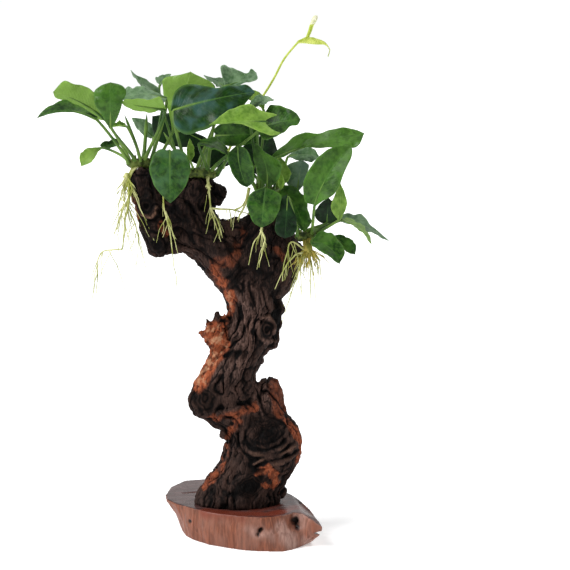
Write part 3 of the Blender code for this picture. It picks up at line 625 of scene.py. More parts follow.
@dataclass(frozen=True)
class WoodFinish:
    """Old driftwood: black in its grooves from painted shade, brown on its ridges with worn ash-grey tops that carry a
    painted highlight, and orange where the bark has worn away.
    """

    black: Colour = (0.0016, 0.0012, 0.0012)
    umber: Colour = (0.0085, 0.0050, 0.0042)
    brown: Colour = (0.034, 0.0178, 0.0135)
    ash: Colour = (0.165, 0.098, 0.080)
    rust: Colour = (0.070, 0.018, 0.010)
    orange: Colour = (0.320, 0.082, 0.034)
    pale: Colour = (0.430, 0.215, 0.120)
    tan: Colour = (0.250, 0.135, 0.090)

    def material(self) -> Material:
        """Returns:
            The wood, which reads the painted shade in its grooves and where orange, ash grey with a painted highlight,
            painted shade over darker wood and bare ribs lie.
        """
        recipe = Recipe("driftwood_grain")
        groove, glow, ash = recipe.mark("groove"), recipe.mark("glow"), recipe.mark("ash")
        patch = recipe.fit(recipe.noise(10, 4, (1, 1, 2.2), 0.8), 0.36, 0.66)
        fibre = recipe.fit(recipe.noise(1.3, 5, (1, 1, 5), 0.5), 0.3, 0.7)
        # Ridge tops away from the grooves turn ash grey: worn wood with a painted highlight
        worn = recipe.times(recipe.fit(groove, 0.60, 0.20), fibre)
        # Near-black patches: painted shade in the fork, under the leaves and at the foot, over darker wood
        darkened_and_shaded = recipe.times(recipe.mark("soot"), recipe.fit(fibre, 0.2, 1, 1.0, 0.55))
        rib = recipe.times(recipe.mark("rib"), recipe.fit(recipe.noise(2.2, 3), 0.36, 0.6, 0.35, 0.9))
        rusty = recipe.fit(recipe.noise(3.0, 4, (1, 1, 2), 0.8), 0.33, 0.62)
        bright = recipe.times(recipe.fit(recipe.noise(4.2, 3), 0.45, 0.68), recipe.fit(glow, 0.7, 1.1))
        # Painted shade: the deepest grooves go black, less so on the orange wood
        deep_groove_shade = recipe.times(groove, recipe.fit(glow, 0.2, 1.0, 1.0, 0.6))
        pore = recipe.fit(recipe.noise(0.9, 3), 0.60, 0.70)
        colour = recipe.coats(
            recipe.mix(patch, self.umber, self.brown),
            (recipe.times(worn, recipe.fit(ash, 0, 1, 0.26, 0.9)), self.ash),
            (darkened_and_shaded, self.black),
            (rib, self.tan),
            (
                recipe.fit(recipe.maths("ADD", glow, recipe.times(fibre, 0.12)), 0.12, 1.0),
                recipe.coats(recipe.mix(rusty, self.rust, self.orange), (bright, self.pale)),
            ),
            (recipe.fit(deep_groove_shade, 0.34, 0.74), self.black),
            (recipe.times(pore, 0.6), self.black),
        )
        grain = recipe.bump(recipe.noise(0.9, 5, (1, 1, 5), 0.4), 0.4)
        relief = recipe.bump(recipe.noise(3.0, 4, (1, 1, 3), 0.6), 0.9, grain)
        rough = recipe.fit(fibre, 0, 1, 0.55, 0.8)
        return recipe.shade(Base_Color=colour, Roughness=rough, Normal=relief, Specular_IOR_Level=0.06)


@dataclass(frozen=True)
class SlabFinish:
    """The slab's oiled wood: rosy and glossy on top, orange with upright grain at the sides."""

    top_dark: Colour = (0.036, 0.014, 0.012)
    top_light: Colour = (0.095, 0.050, 0.047)
    side_dark: Colour = (0.112, 0.034, 0.017)
    side_light: Colour = (0.250, 0.080, 0.041)
    pink: Colour = (0.235, 0.108, 0.076)
    red: Colour = (0.170, 0.030, 0.014)
    pit: Colour = (0.012, 0.007, 0.006)
    faded: Colour = (0.510, 0.350, 0.300)

    def material(self) -> Material:
        """Returns:
            The slab's wood, which reads where its red stains and faded patches lie and where painted shade darkens its
            pits and crack.
        """
        recipe = Recipe("slab_wood")
        up = recipe.add("SeparateXYZ", {0: recipe.add("TexCoord").outputs["Normal"]}).outputs["Z"]
        streak = recipe.fit(recipe.noise(2.2, 5, (1, 1, 9), 0.9), 0.32, 0.68)
        cloud = recipe.fit(recipe.noise(16, 4, (1, 1, 1.6), 0.7), 0.35, 0.65)
        speck = recipe.fit(recipe.noise(0.8, 4, (1, 1, 3)), 0.52, 0.72)
        ring = recipe.fit(recipe.noise(3.2, 4, (4, 1, 1), 1.2), 0.33, 0.67)
        worn = recipe.times(recipe.fit(streak, 0, 1, 0.4, 0.85), recipe.fit(up, 0.3, 0.8, 1, 0.2))
        colour = recipe.coats(
            recipe.mix(streak, self.side_dark, self.side_light),
            (recipe.times(cloud, 0.55), self.pink),
            (recipe.fit(up, 0.55, 0.9), recipe.mix(ring, self.top_dark, self.top_light)),
            (recipe.times(recipe.mark("stain"), 0.8), self.red),
            (recipe.times(recipe.mark("fade"), worn), self.faded),
            (recipe.times(speck, 0.28), self.side_dark),
            # Painted shade: the pits and the crack go near black
            (recipe.mark("pit"), self.pit),
        )
        grain = recipe.bump(recipe.noise(1.0, 5, (1, 1, 7), 0.4), 0.12)
        rough = recipe.fit(up, 0.5, 0.95, 0.5, 0.2)
        return recipe.shade(Base_Color=colour, Roughness=rough, Normal=grain, Specular_IOR_Level=0.3)


LEAF_FINISHES = (
    LeafFinish(
        DEEP, (0.003, 0.021, 0.002), (0.014, 0.064, 0.006), (0.085, 0.205, 0.026), (0.035, 0.095, 0.020),
        (0.070, 0.170, 0.028),
    ),
    # The deep green darkened with painted shade, for leaves in shadow behind others
    LeafFinish(
        DARK, (0.001, 0.006, 0.002), (0.003, 0.016, 0.004), (0.016, 0.052, 0.012), (0.012, 0.040, 0.012),
        (0.025, 0.075, 0.018),
    ),
    LeafFinish(
        YOUNG, (0.060, 0.150, 0.012), (0.130, 0.260, 0.026), (0.270, 0.430, 0.080), (0.180, 0.320, 0.055),
        (0.230, 0.390, 0.080),
    ),
    # A paler green with a painted grey-white sheen
    LeafFinish(
        PALE, (0.028, 0.085, 0.026), (0.085, 0.175, 0.065), (0.250, 0.370, 0.220), (0.120, 0.210, 0.085),
        (0.170, 0.270, 0.125),
    ),
)
STALK = SkinFinish("leaf_stalk", (0.032, 0.092, 0.013), (0.155, 0.265, 0.045), 14, (1, 1, 2.5), 0.38)
RHIZOME = SkinFinish("rhizome_skin", (0.024, 0.042, 0.007), (0.150, 0.200, 0.040), 3.5, roughness=0.55, relief=0.3)
ROOT = SkinFinish("root_skin", (0.28, 0.31, 0.06), (0.60, 0.60, 0.28), 6, (1, 1, 2), 0.55)
YOUNG_ROOT = SkinFinish("young_root_skin", (0.17, 0.19, 0.025), (0.50, 0.40, 0.085), 5, (1, 1, 2), 0.5)
FLOWER_SKIN = SkinFinish("flower_skin", (0.34, 0.43, 0.035), (0.60, 0.67, 0.15), 6, (1, 1, 2), 0.42)
SPADIX_SKIN = SkinFinish("spadix_skin", (0.55, 0.58, 0.28), (0.80, 0.78, 0.60), 1.4, roughness=0.6, relief=0.3)


# The wooden parts


@dataclass(frozen=True)
class Knot:
    """A knot in the wood: its middle and reach, how high its rim stands, how deep its eye is and how its rings lie."""

    middle: Point
    reach: float
    rim: float
    eye: float
    spacing: float


@dataclass(frozen=True)
class Streak:
    """A patch or strip of another colour on the wood: its path, how far it reaches and how strong it is."""

    path: tuple[Point, ...]
    reach: float
    strength: float


def paint(
    points: np.ndarray, streaks: Iterable[Streak], ragged: np.ndarray, fade: tuple[float, float],
    flat: Point = (1, 1, 1),
) -> np.ndarray:
    """Args:
        points: places on the wood.
        streaks: the patches and strips of one colour.
        ragged: how far their edges wander at each place.
        fade: the shares of a streak's reach where it starts to fade and where it ends.
        flat: how much each axis counts in a distance.

    Returns:
        How strong the colour is at each place.
    """
    found = np.zeros(len(points))
    for streak in streaks:
        far = distance_to_path(points * flat, np.array(streak.path) * flat) + ragged
        start, end = (share * streak.reach for share in fade)
        found = np.maximum(found, streak.strength * (1 - smooth_step(start, end, far)))
    return found


@dataclass
class Driftwood:
    """The forked trunk with its limbs, worked as one body and then parted at the forks."""

    voxel: float = 0.9
    # How far apart the grooves lie and how far they run on, and how much they bend
    groove_size: Point = (6.4, 6.4, 40)
    groove_bend: Point = (0.9, 0.9, 0.3)
    # Layers of grooves, coarse to fine: how many times finer than the first, and how wide a groove is
    grain: tuple[tuple[Point, float], ...] = (((1, 1, 1), 0.40), ((2.3, 2.3, 1.8), 0.36), ((5.2, 5.2, 3.4), 0.36))
    # How far a run of grain reaches, and how strongly a knot draws the grain round itself
    run_reach: float = 6
    knot_pull: float = 0.8
    # How much of the grain a knot covers, how high it stands and how deep its rings are
    knot_cover: float = 0.85
    knot_height: float = 1.9
    ring_depth: float = 0.45
    ridge_height: float = 2.6
    lift: float = 2.9
    foot: float = 26.9
    smoothing: int = 3
    smooth_angle: float = 70
    tooth_sides: int = 9
    tooth_tip: float = 0.25
    # How much each axis counts in the distance to a mark on the bark
    flat: Point = (1, 0.4, 1)
    nodes: tuple[str, ...] = (
        "driftwood_trunk", "driftwood_limb_right", "driftwood_limb_middle", "driftwood_limb_left",
    )
    # Runs of grain: up the trunk, then along each limb
    runs: tuple[tuple[Point, ...], ...] = (
        (
            (-4, 0, 24), (-2, 0, 44), (14, 0, 74), (6, 0, 94), (-12, 0, 108), (-15, 0, 122), (-10, 0, 138), (1, 0, 160),
            (8, 0, 184), (5, 0, 206), (4, 0, 226),
        ),
        ((2, 0, 214), (22, 0, 236), (32, 0, 270)), ((0, 0, 214), (-16, 0, 244), (-28, 0, 292)),
        ((-22, 0, 244), (-56, 0, 252), (-72, 0, 262)), ((-70, 0, 246), (-78, 0, 266), (-80, 0, 300)),
        ((24, 0, 92), (20, 0, 132)),
    )
    cuts: tuple[tuple[Point, Point], ...] = (
        ((0, 0, 207), (0.12, 0, 1)), ((-8, 0, 252), (1, 0, 0.1)), ((-58, 0, 255), (1, 0, 0.06)),
    )
    knots: tuple[Knot, ...] = (
        Knot((-30, -20, 119), 13, 1.2, 2.4, 2.6), Knot((19, -23, 92), 21, 0.4, 0.6, 2.7),
        Knot((5, -25, 46), 14, 0.8, 1.0, 2.6), Knot((20, -15, 172), 10, 1.6, 1.4, 2.6),
        Knot((-75, -22, 271), 11, 1.8, 4.0, 3.2), Knot((-67, -21, 241), 9, 1.0, 2.2, 3.0),
        Knot((-28, -14, 272), 12, 0.8, 1.6, 3.2),
        Knot((-27, -16, 40), 10, 0.6, 1.4, 3.0),
        Knot((-20, 17, 122), 14, 1.0, 2.6, 3.4), Knot((14, 23, 74), 18, 0.9, 2.0, 3.8),
        Knot((8, 20, 192), 12, 1.2, 2.4, 3.4), Knot((-22, 20, 244), 13, 1.0, 2.2, 3.2),
        Knot((26, 20, 236), 12, 1.0, 2.4, 3.2), Knot((-70, 6, 262), 11, 1.0, 2.4, 3.2),
    )
    # Holes and lumps: middle, reach and how far the wood moves in or out
    dents: tuple[tuple[Point, float, float], ...] = (
        ((-25, -15, 177), 2.6, -4.0), ((-17, -15, 184), 2.1, -3.5), ((-27, -15, 162), 1.8, -2.5),
        ((-31, -13, 171), 1.4, -1.6), ((33, -18, 50), 3.6, -4.5), ((37, -15, 43), 3.0, -4.0),
        ((29, -21, 53), 2.2, -3.0), ((34, -19, 56), 1.8, -2.2), ((24, -22, 36), 2.0, -2.5),
        ((-9, -17, 97), 2.5, -2.0), ((-15, -14, 86), 4.0, 2.6), ((-13, -12, 80), 2.4, -2.4),
        ((-52, -20, 252), 4.0, -3.0), ((-60, -20, 262), 3.0, -2.6), ((-84, -10, 283), 3.0, 1.2),
        ((-84, -8, 294), 6.0, 3.6), ((8, -10, 262), 4.0, 1.5),
        ((-34, -2, 290), 9.0, 2.2), ((23, 4, 273), 8.0, 1.8),
    )
    # Long raised ribs: path, reach, height and how pale they are worn
    welts: tuple[tuple[tuple[Point, ...], float, float, float], ...] = (
        (
            (
                (-84, -16, 277), (-83.5, -17, 272), (-81.5, -19, 267.5), (-78.5, -20, 264.5), (-75, -21, 263.5),
                (-71, -21, 264), (-68, -21, 266.5), (-66.5, -20, 270.5),
            ),
            1.1, 1.8, 0.8,
        ),
        (((-1, -25, 78), (7, -26, 74), (15, -26, 73), (25, -25, 75), (34, -22, 79), (43, -15, 89)), 1.7, 1.7, 0.22),
        (((8, -26, 65), (13, -27, 69), (20, -26, 71), (31, -23, 72), (44, -14, 79)), 1.5, 1.5, 0.42),
        (((12, -26, 61), (20, -26, 65), (32, -22, 66), (42, -16, 71)), 1.2, 1.2, 0.2),
        (((2, -25, 84), (9, -26, 80), (18, -26, 79), (29, -23, 83), (37, -18, 92)), 1.2, 1.0, 0),
        (((-4, -22, 92), (-2, -24, 84), (-3, -24, 72), (-8, -23, 60), (-10, -23, 50)), 1.5, 1.2, 0),
        (((14, -13, 182), (21, -14, 182), (27, -11, 176), (27, -11, 168)), 1.6, 1.6, 0.3),
        (((11, -15, 178), (13, -16, 168), (20, -15, 162), (26, -11, 162)), 1.4, 1.4, 0.2),
        (((-28, -17, 103), (-16, -19, 106), (-4, -19, 109), (6, -18, 113)), 1.6, 1.4, 0),
        (
            ((-6, -17, 204), (-4, -19, 192), (-9, -18, 178), (-10, -18, 164), (-18, -18, 150), (-24, -18, 138)),
            1.5, 1.3, 0.35,
        ),
        (
            ((3, -18, 208), (3, -19, 194), (-2, -19, 178), (-3, -19, 162), (-10, -19, 146), (-15, -19, 132)),
            1.4, 1.2, 0.3,
        ),
        (
            ((11, -17, 206), (11, -18, 194), (5, -18, 178), (4, -19, 162), (-3, -19, 146), (-7, -19, 130)),
            1.3, 1.2, 0.25,
        ),
    )
    # Teeth of the burl and of the broken edges: root, tip and how thick the root is
    teeth: tuple[tuple[Point, Point, float], ...] = (
        ((-21, -9, 174), (-20.5, -9, 186), 5.0), ((-24, -9, 172), (-30.5, -9, 181), 4.6),
        ((-25, -9, 168), (-36.5, -9, 169), 6.0), ((-24, -9, 164), (-31, -9, 160), 5.0),
        ((-21, -9, 160), (-26, -9, 153), 5.0), ((-17, -8, 174), (-15, -8, 184.5), 4.4),
        ((-24, -2, 168), (-32, 0, 173), 5.0), ((-23, -2, 162), (-29, 1, 158), 4.6),
        ((-22, 3, 281), (-18, 2, 285), 4.0), ((-22, 2, 273), (-17, 1, 274), 4.0), ((-10, -10, 90), (-18, -11, 85), 4.0),
        ((16, 4, 122), (14, 2, 128), 4.0),
    )
    streaks: tuple[Streak, ...] = (
        Streak(((-22, -10, 220), (-17, -13, 208)), 7.0, 0.7),
        Streak(((-13, -14, 200), (-11, -15, 194), (-13, -15, 184)), 7.0, 0.95),
        Streak(((-24, -9, 168),), 13.5, 1.25),
        Streak(((-14, -15, 181), (-13, -16, 168), (-18, -14, 156), (-26, -12, 148)), 2.6, 0.8),
        Streak(((-17, -14, 160), (-24, -14, 150), (-31, -13, 139), (-36, -11, 128)), 8.0, 1.05),
        Streak(((10, -13, 128), (11, -15, 116), (9, -16, 106)), 2.6, 0.75),
        Streak(((-26, -16, 101), (-8, -18, 105), (7, -16, 109)), 4.6, 0.55),
        Streak(((-5, -16, 98), (-12, -15, 88), (-16, -13, 72), (-20, -12, 58), (-32, -8, 42)), 4.6, 0.62),
        Streak(((34, -12, 98), (42, -9, 88), (46, -6, 74), (44, -9, 62)), 4.4, 0.72),
        Streak(((12, -24, 57), (19, -23, 62), (25, -22, 54), (27, -20, 46), (31, -18, 37)), 4.2, 0.82),
        Streak(((17, -24, 47), (24, -22, 42), (31, -18, 36)), 3.4, 0.8),
        Streak(((24, -6, 126), (27, -5, 114), (29, -4, 104)), 8.0, 0.48),
        Streak(((-84, -8, 292), (-84, -12, 276), (-82, -14, 262)), 3.6, 0.7),
        Streak(((-64, -20, 256), (-60, -20, 250)), 4.0, 0.5),
        Streak(((-1, -17, 250), (-3, -18, 236), (-10, -17, 227), (-22, -14, 227)), 6.0, 0.42),
        Streak(((26, -18, 238), (31, -17, 230)), 4.0, 0.4),
        Streak(((-20, 14, 150), (-30, 12, 136), (-36, 12, 122)), 6.0, 0.7),
        Streak(((30, 16, 88), (38, 12, 72), (34, 14, 54)), 6.0, 0.7),
        Streak(((-6, 18, 200), (-14, 18, 222), (-28, 20, 240)), 6.0, 0.6),
    )
    # Where the ridge tops turn ash grey: worn wood with a painted highlight
    ash_and_highlight_streaks: tuple[Streak, ...] = (
        Streak(((17, -10, 128), (18, -11, 110)), 11.0, 1.0),
        Streak(((18, -14, 163), (24, -13, 168)), 5.0, 0.8), Streak(((17, -16, 180), (24, -14, 181)), 4.0, 0.7),
        Streak(((2, -18, 206), (2, -18, 190), (-4, -17, 172), (-12, -17, 150), (-18, -17, 136)), 9.0, 0.75),
        Streak(((14, -16, 200), (8, -18, 176), (3, -18, 158), (-4, -18, 138)), 8.0, 0.6),
        Streak(((0, -14, 258), (-14, -16, 240)), 3.0, 0.4),
    )
    # Patches darkened to black: painted shade in the fork, under the leaves and at the foot, over darker wood
    dark_wood_and_shade_streaks: tuple[Streak, ...] = (
        Streak(((-76, -16, 288), (-74, -18, 264), (-66, -18, 242)), 18.0, 0.75),
        Streak(((-56, -16, 258), (-30, -16, 262), (-22, -12, 280)), 20.0, 0.75),
        Streak(((24, -16, 262), (24, -14, 240), (22, -12, 222)), 18.0, 0.75),
        Streak(((8, -18, 252), (10, -18, 232), (18, -18, 212)), 16.0, 0.9), Streak(((18, -22, 92),), 20.0, 0.7),
        Streak(((-34, -18, 119), (-26, -18, 118)), 12.0, 0.45),
        Streak(((-24, -16, 34), (-6, -22, 32), (22, -20, 30)), 10.0, 0.4),
        Streak(((-4, -18, 216), (12, -18, 208)), 13.0, 0.75), Streak(((-14, -18, 238), (-34, -16, 246)), 12.0, 0.5),
        Streak(((5, -22, 47),), 10.0, 0.5), Streak(((34, -17, 48),), 7.0, 0.7), Streak(((-20, -14, 96),), 6.0, 0.5),
    )

    def rough_body(self) -> Piece:
        """Returns:
            The solids' copy with the teeth added, as one fine net.
        """
        parts = [copy_nodes("wood", self.nodes)]
        for root, tip, radius in self.teeth:
            start, end = Vector(root) * MM, Vector(tip) * MM
            turn = (end - start).to_track_quat("Z", "Y").to_euler()
            bpy.ops.mesh.primitive_cone_add(
                vertices=self.tooth_sides, radius1=radius * MM, radius2=self.tooth_tip * radius * MM,
                depth=(end - start).length, location=(start + end) / 2, rotation=turn,
            )
            parts.append(newest("tooth"))
        body = join("wood", parts)
        apply_modifier(body, "REMESH", mode="VOXEL", voxel_size=self.voxel * MM)
        apply_modifier(body, "SMOOTH", iterations=self.smoothing)
        return body

    def ridges(self, points: np.ndarray) -> tuple[np.ndarray, np.ndarray]:
        """Args:
            points: places on the wood.

        Returns:
            How high the ridges stand there and how much painted shade darkens the grooves between them.
        """
        bend = np.column_stack([layered(points, (1, seed, 26), (0.3, seed + 5, 9)) for seed in (11, 12, 13)])
        drawn = points.copy()
        for knot in self.knots:
            away = points - knot.middle
            share = bell(np.linalg.norm(away, axis=1), 1.25 * knot.reach)
            drawn[:, ::2] -= self.knot_pull * share[:, None] * away[:, ::2]
        weights, heights, darks = np.zeros(len(points)), np.zeros(len(points)), np.zeros(len(points))
        for number, run in enumerate(self.runs):
            far, place = along_path(drawn, run)
            weight = np.exp(-far / self.run_reach) + 1e-9
            flow = place / self.groove_size + bend * self.groove_bend
            layers = [
                np.minimum(np.abs(Noise(21 + 7 * number + layer)(flow * scale)) / reach, 1) ** 0.7
                for layer, (scale, reach) in enumerate(self.grain)
            ]
            weights += weight
            heights += weight * (layers[0] + 0.42 * layers[1] + 0.20 * layers[2])
            darks += weight * (1 - np.minimum(layers[0], 0.3 + 0.7 * layers[1]) * (0.75 + 0.25 * layers[2]))
        return self.ridge_height * heights / weights, darks / weights

    def knotted(self, points: np.ndarray, ridge: np.ndarray, dark: np.ndarray) -> tuple[np.ndarray, np.ndarray]:
        """Args:
            points: places on the wood.
            ridge: how high the ridges stand there.
            dark: how much painted shade darkens the grooves there.

        Returns:
            The height and the darkness with the rings, rims and eyes of the knots, the sunk eyes darkened with painted
            shade.
        """
        height = ridge - self.lift
        wobble = layered(points, (3.4, 31, 9), (1.2, 32, 3.4))
        for knot in self.knots:
            far = np.abs(np.linalg.norm(points - knot.middle, axis=1) + wobble * knot.reach / 12)
            share = self.knot_cover * (1 - smooth_step(knot.reach * 0.5, knot.reach, far))
            ring = 0.5 + 0.5 * np.cos(2 * math.pi * far / knot.spacing)
            sunk = bell(far, 0.32 * knot.reach)
            rim = bell(far - 0.72 * knot.reach, 0.22 * knot.reach)
            shape = (
                self.knot_height + knot.rim * rim - knot.eye * sunk - self.ring_depth * ring + 0.35 * ridge - self.lift
            )
            height += share * (shape - height)
            dark += share * (np.clip(0.38 + 0.36 * ring**1.5 + 0.30 * sunk, 0, 1) - dark)
        return height, dark

    def ribbed(
        self, points: np.ndarray, height: np.ndarray, dark: np.ndarray,
    ) -> tuple[np.ndarray, np.ndarray, np.ndarray]:
        """Args:
            points: places on the wood.
            height: how far the wood moves out there.
            dark: how much painted shade darkens the grooves there.

        Returns:
            The height and the darkness with the long ribs, which are lighter on top with a sunk line of painted shade
            beside them, and how pale those are worn.
        """
        stray = np.column_stack([layered(points, (1.8, seed, 10)) for seed in (91, 92, 93)])
        worn = 0.45 + 0.55 * smooth_step(-0.4, 0.3, layered(points, (1, 94, 9)))
        pale = np.zeros(len(points))
        for path, reach, rise, bare in self.welts:
            far = distance_to_path((points + stray) * self.flat, np.array(path) * self.flat)
            near = bell(far, reach) * worn
            # A sunk line beside each rib is darkened with painted shade
            beside = bell(far - 2.1 * reach, 0.6 * reach) * worn
            height += rise * near - 0.5 * rise * beside
            pale = np.maximum(pale, bare * smooth_step(0.45, 0.95, near))
            dark = np.clip(dark * (1 - 0.85 * near) + 0.28 * beside, 0, 1)
        return height, dark, pale

    def carve(self, body: Piece) -> None:
        """Cuts the grooves, knots, holes and lumps into the net and stores its marks, among them painted shade in the
        grooves and holes.

        Args:
            body: the net.
        """
        points, normals = read_points(body), read_normals(body)
        height, dark = self.knotted(points, *self.ridges(points))
        height += layered(points, (0.9, 41, 13), (0.9, 42, 6), (0.35, 43, 2.6))
        for middle, reach, move in self.dents:
            near = bell(np.linalg.norm((points - middle) * (1, 0.35, 1), axis=1), reach)
            height += move * near
            # Holes are darkened with painted shade
            if move < 0:
                dark = np.maximum(dark, near)
        height, dark, pale = self.ribbed(points, height, dark)
        points += normals * height[:, None]
        points[:, 2] = np.maximum(points[:, 2], self.foot)
        write_points(body, points)
        ragged = layered(points, (1.8, 51, 4))
        glow, ash, soot = (
            paint(points, streaks, ragged, (0.35, 1.15), self.flat)
            for streaks in (self.streaks, self.ash_and_highlight_streaks, self.dark_wood_and_shade_streaks)
        )
        write_marks(body, groove=dark, rib=pale, glow=glow, ash=ash, soot=soot * (1 - 0.8 * np.clip(ash, 0, 1)))

    def part(self, body: Piece) -> list[Piece]:
        """Args:
            body: the carved net, which is removed.

        Returns:
            The trunk and the three limbs, cut apart along the forks.
        """
        (trunk_cut, fork_cut, left_cut) = self.cuts
        below, above = True, False
        sides = {
            "trunk": [(trunk_cut, below)],
            "limb_right": [(trunk_cut, above), (fork_cut, above)],
            "limb_middle": [(trunk_cut, above), (fork_cut, below), (left_cut, above)],
            "limb_left": [(trunk_cut, above), (fork_cut, below), (left_cut, below)],
        }
        pieces = []
        for name, planes in sides.items():
            piece = body.copy()
            piece.data = body.data.copy()
            bpy.context.scene.collection.objects.link(piece)
            pick(piece)
            bpy.ops.object.mode_set(mode="EDIT")
            for (place, way), keep_below in planes:
                bpy.ops.mesh.select_all(action="SELECT")
                bpy.ops.mesh.bisect(
                    plane_co=Vector(place) * MM, plane_no=way, use_fill=True, clear_outer=keep_below,
                    clear_inner=not keep_below,
                )
            bpy.ops.object.mode_set(mode="OBJECT")
            bpy.ops.object.shade_smooth_by_angle(angle=math.radians(self.smooth_angle))
            pieces.append(newest(f"wood_{name}"))
        bpy.data.objects.remove(body)
        return pieces

    def build(self) -> list[Piece]:
        """Returns:
            The finished pieces of driftwood.
        """
        body = self.rough_body()
        self.carve(body)
        look = WoodFinish().material()
        pieces = self.part(body)
        for piece in pieces:
            piece.data.materials.clear()
            finish_piece(dress(piece, look), "driftwood", piece.name.replace("wood_", "driftwood_"))
        return pieces


@dataclass
class Slab:
    """The slab that the driftwood stands on."""

    voxel: float = 0.9
    top: float = 27.0
    smoothing: int = 2
    smooth_angle: float = 50
    # Pits in the front side: place in X and Z, reach and depth
    pits: tuple[tuple[float, float, float, float], ...] = (
        (13.0, 16.0, 2.2, 4.0), (14.8, 17.6, 1.8, 3.0), (11.6, 13.8, 1.6, 2.4), (41.0, 22.5, 3.0, 4.6),
        (42.6, 19.6, 3.2, 4.6), (43.6, 16.6, 2.2, 3.0), (-44.5, 15.5, 1.8, 1.6),
    )
    crack: tuple[Point, ...] = ((-52, 22, 27), (-46, 24, 27), (-39, 25.5, 27))
    crack_width: float = 0.9
    crack_depth: float = 1.6
    # The split in the right tip: its lower and upper edge, how deep it is, and where along X it opens
    notch: tuple[float, float] = (10.8, 15.4)
    notch_depth: float = 7.0
    notch_opens: tuple[float, float] = (55, 63)
    stains: tuple[Streak, ...] = (
        Streak(((-30, -26, 27), (0, -34, 27), (20, -34, 27), (30, -28, 27)), 9.0, 0.9),
        Streak(((44, -32, 22), (46, -30, 8)), 1.6, 0.8), Streak(((30, -2, 27), (10, -26, 27)), 8.0, 0.5),
        Streak(((-58, 0, 24), (-50, -8, 14)), 3.0, 0.35), Streak(((38, -20, 27), (50, -8, 26)), 8.0, 0.5),
    )
    fades: tuple[Streak, ...] = (
        Streak(((50, -26, 22), (52, -26, 6)), 13.0, 0.9), Streak(((30, -40, 18), (38, -38, 4)), 9.0, 0.6),
        Streak(((64, -6, 12), (60, 8, 10)), 7.0, 0.7), Streak(((22, -44, 14), (6, -46, 16)), 7.0, 0.4),
    )

    def carve(self, piece: Piece) -> None:
        """Cuts the grain, the pits, the crack and the split tip into the slab and stores its marks, with painted shade
        in the pits and the crack.

        Args:
            piece: the slab's net.
        """
        points, normals = read_points(piece), read_normals(piece)
        side = 1 - smooth_step(0.5, 0.85, np.abs(normals[:, 2]))
        grain = layered(points, (1, 61, (2.4, 2.4, 15)), (0.6, 62, (1.2, 1.2, 9)))
        height = 0.30 * grain * side + layered(points, (0.5, 63, 14)) * side
        height += layered(points, (0.06, 64, (9, 2.5, 3))) * (1 - side)
        pit = np.zeros(len(points))
        front = (normals[:, 1] < 0.1) & (points[:, 2] < self.top - 1)
        ragged = layered(points, (0.5, 65, 2))
        for x, z, reach, depth in self.pits:
            near = np.where(front, bell(np.hypot(points[:, 0] - x, points[:, 2] - z) + ragged, reach), 0)
            height -= depth * near
            pit = np.maximum(pit, smooth_step(0.25, 0.8, near))
        slot = bell(distance_to_path(points, self.crack) + 0.5 * ragged, self.crack_width)
        height -= self.crack_depth * slot
        pit = np.maximum(pit, smooth_step(0.3, 0.8, slot))
        height[points[:, 2] < 1.0] *= 0.2
        points += normals * height[:, None]
        points[:, 2] = np.clip(points[:, 2], 0, self.top)
        low, high = self.notch
        gape = np.clip(1 - np.abs(2 * points[:, 2] - low - high) / (high - low), 0, 1)
        points[:, 0] -= self.notch_depth * gape * smooth_step(*self.notch_opens, points[:, 0])
        write_points(piece, points)
        ragged = layered(points, (2.5, 66, 6))
        stain, fade = (paint(points, streaks, ragged, (0.3, 1)) for streaks in (self.stains, self.fades))
        write_marks(piece, pit=pit, stain=stain, fade=fade)

    def build(self) -> Piece:
        """Returns:
            The finished slab.
        """
        piece = copy_nodes("slab", ["base_slab"])
        apply_modifier(piece, "REMESH", mode="VOXEL", voxel_size=self.voxel * MM)
        apply_modifier(piece, "SMOOTH", iterations=self.smoothing)
        self.carve(piece)
        pick(piece)
        bpy.ops.object.shade_smooth_by_angle(angle=math.radians(self.smooth_angle))
        return finish_piece(dress(piece, SlabFinish().material()), "slab", "base_slab")


# The plant


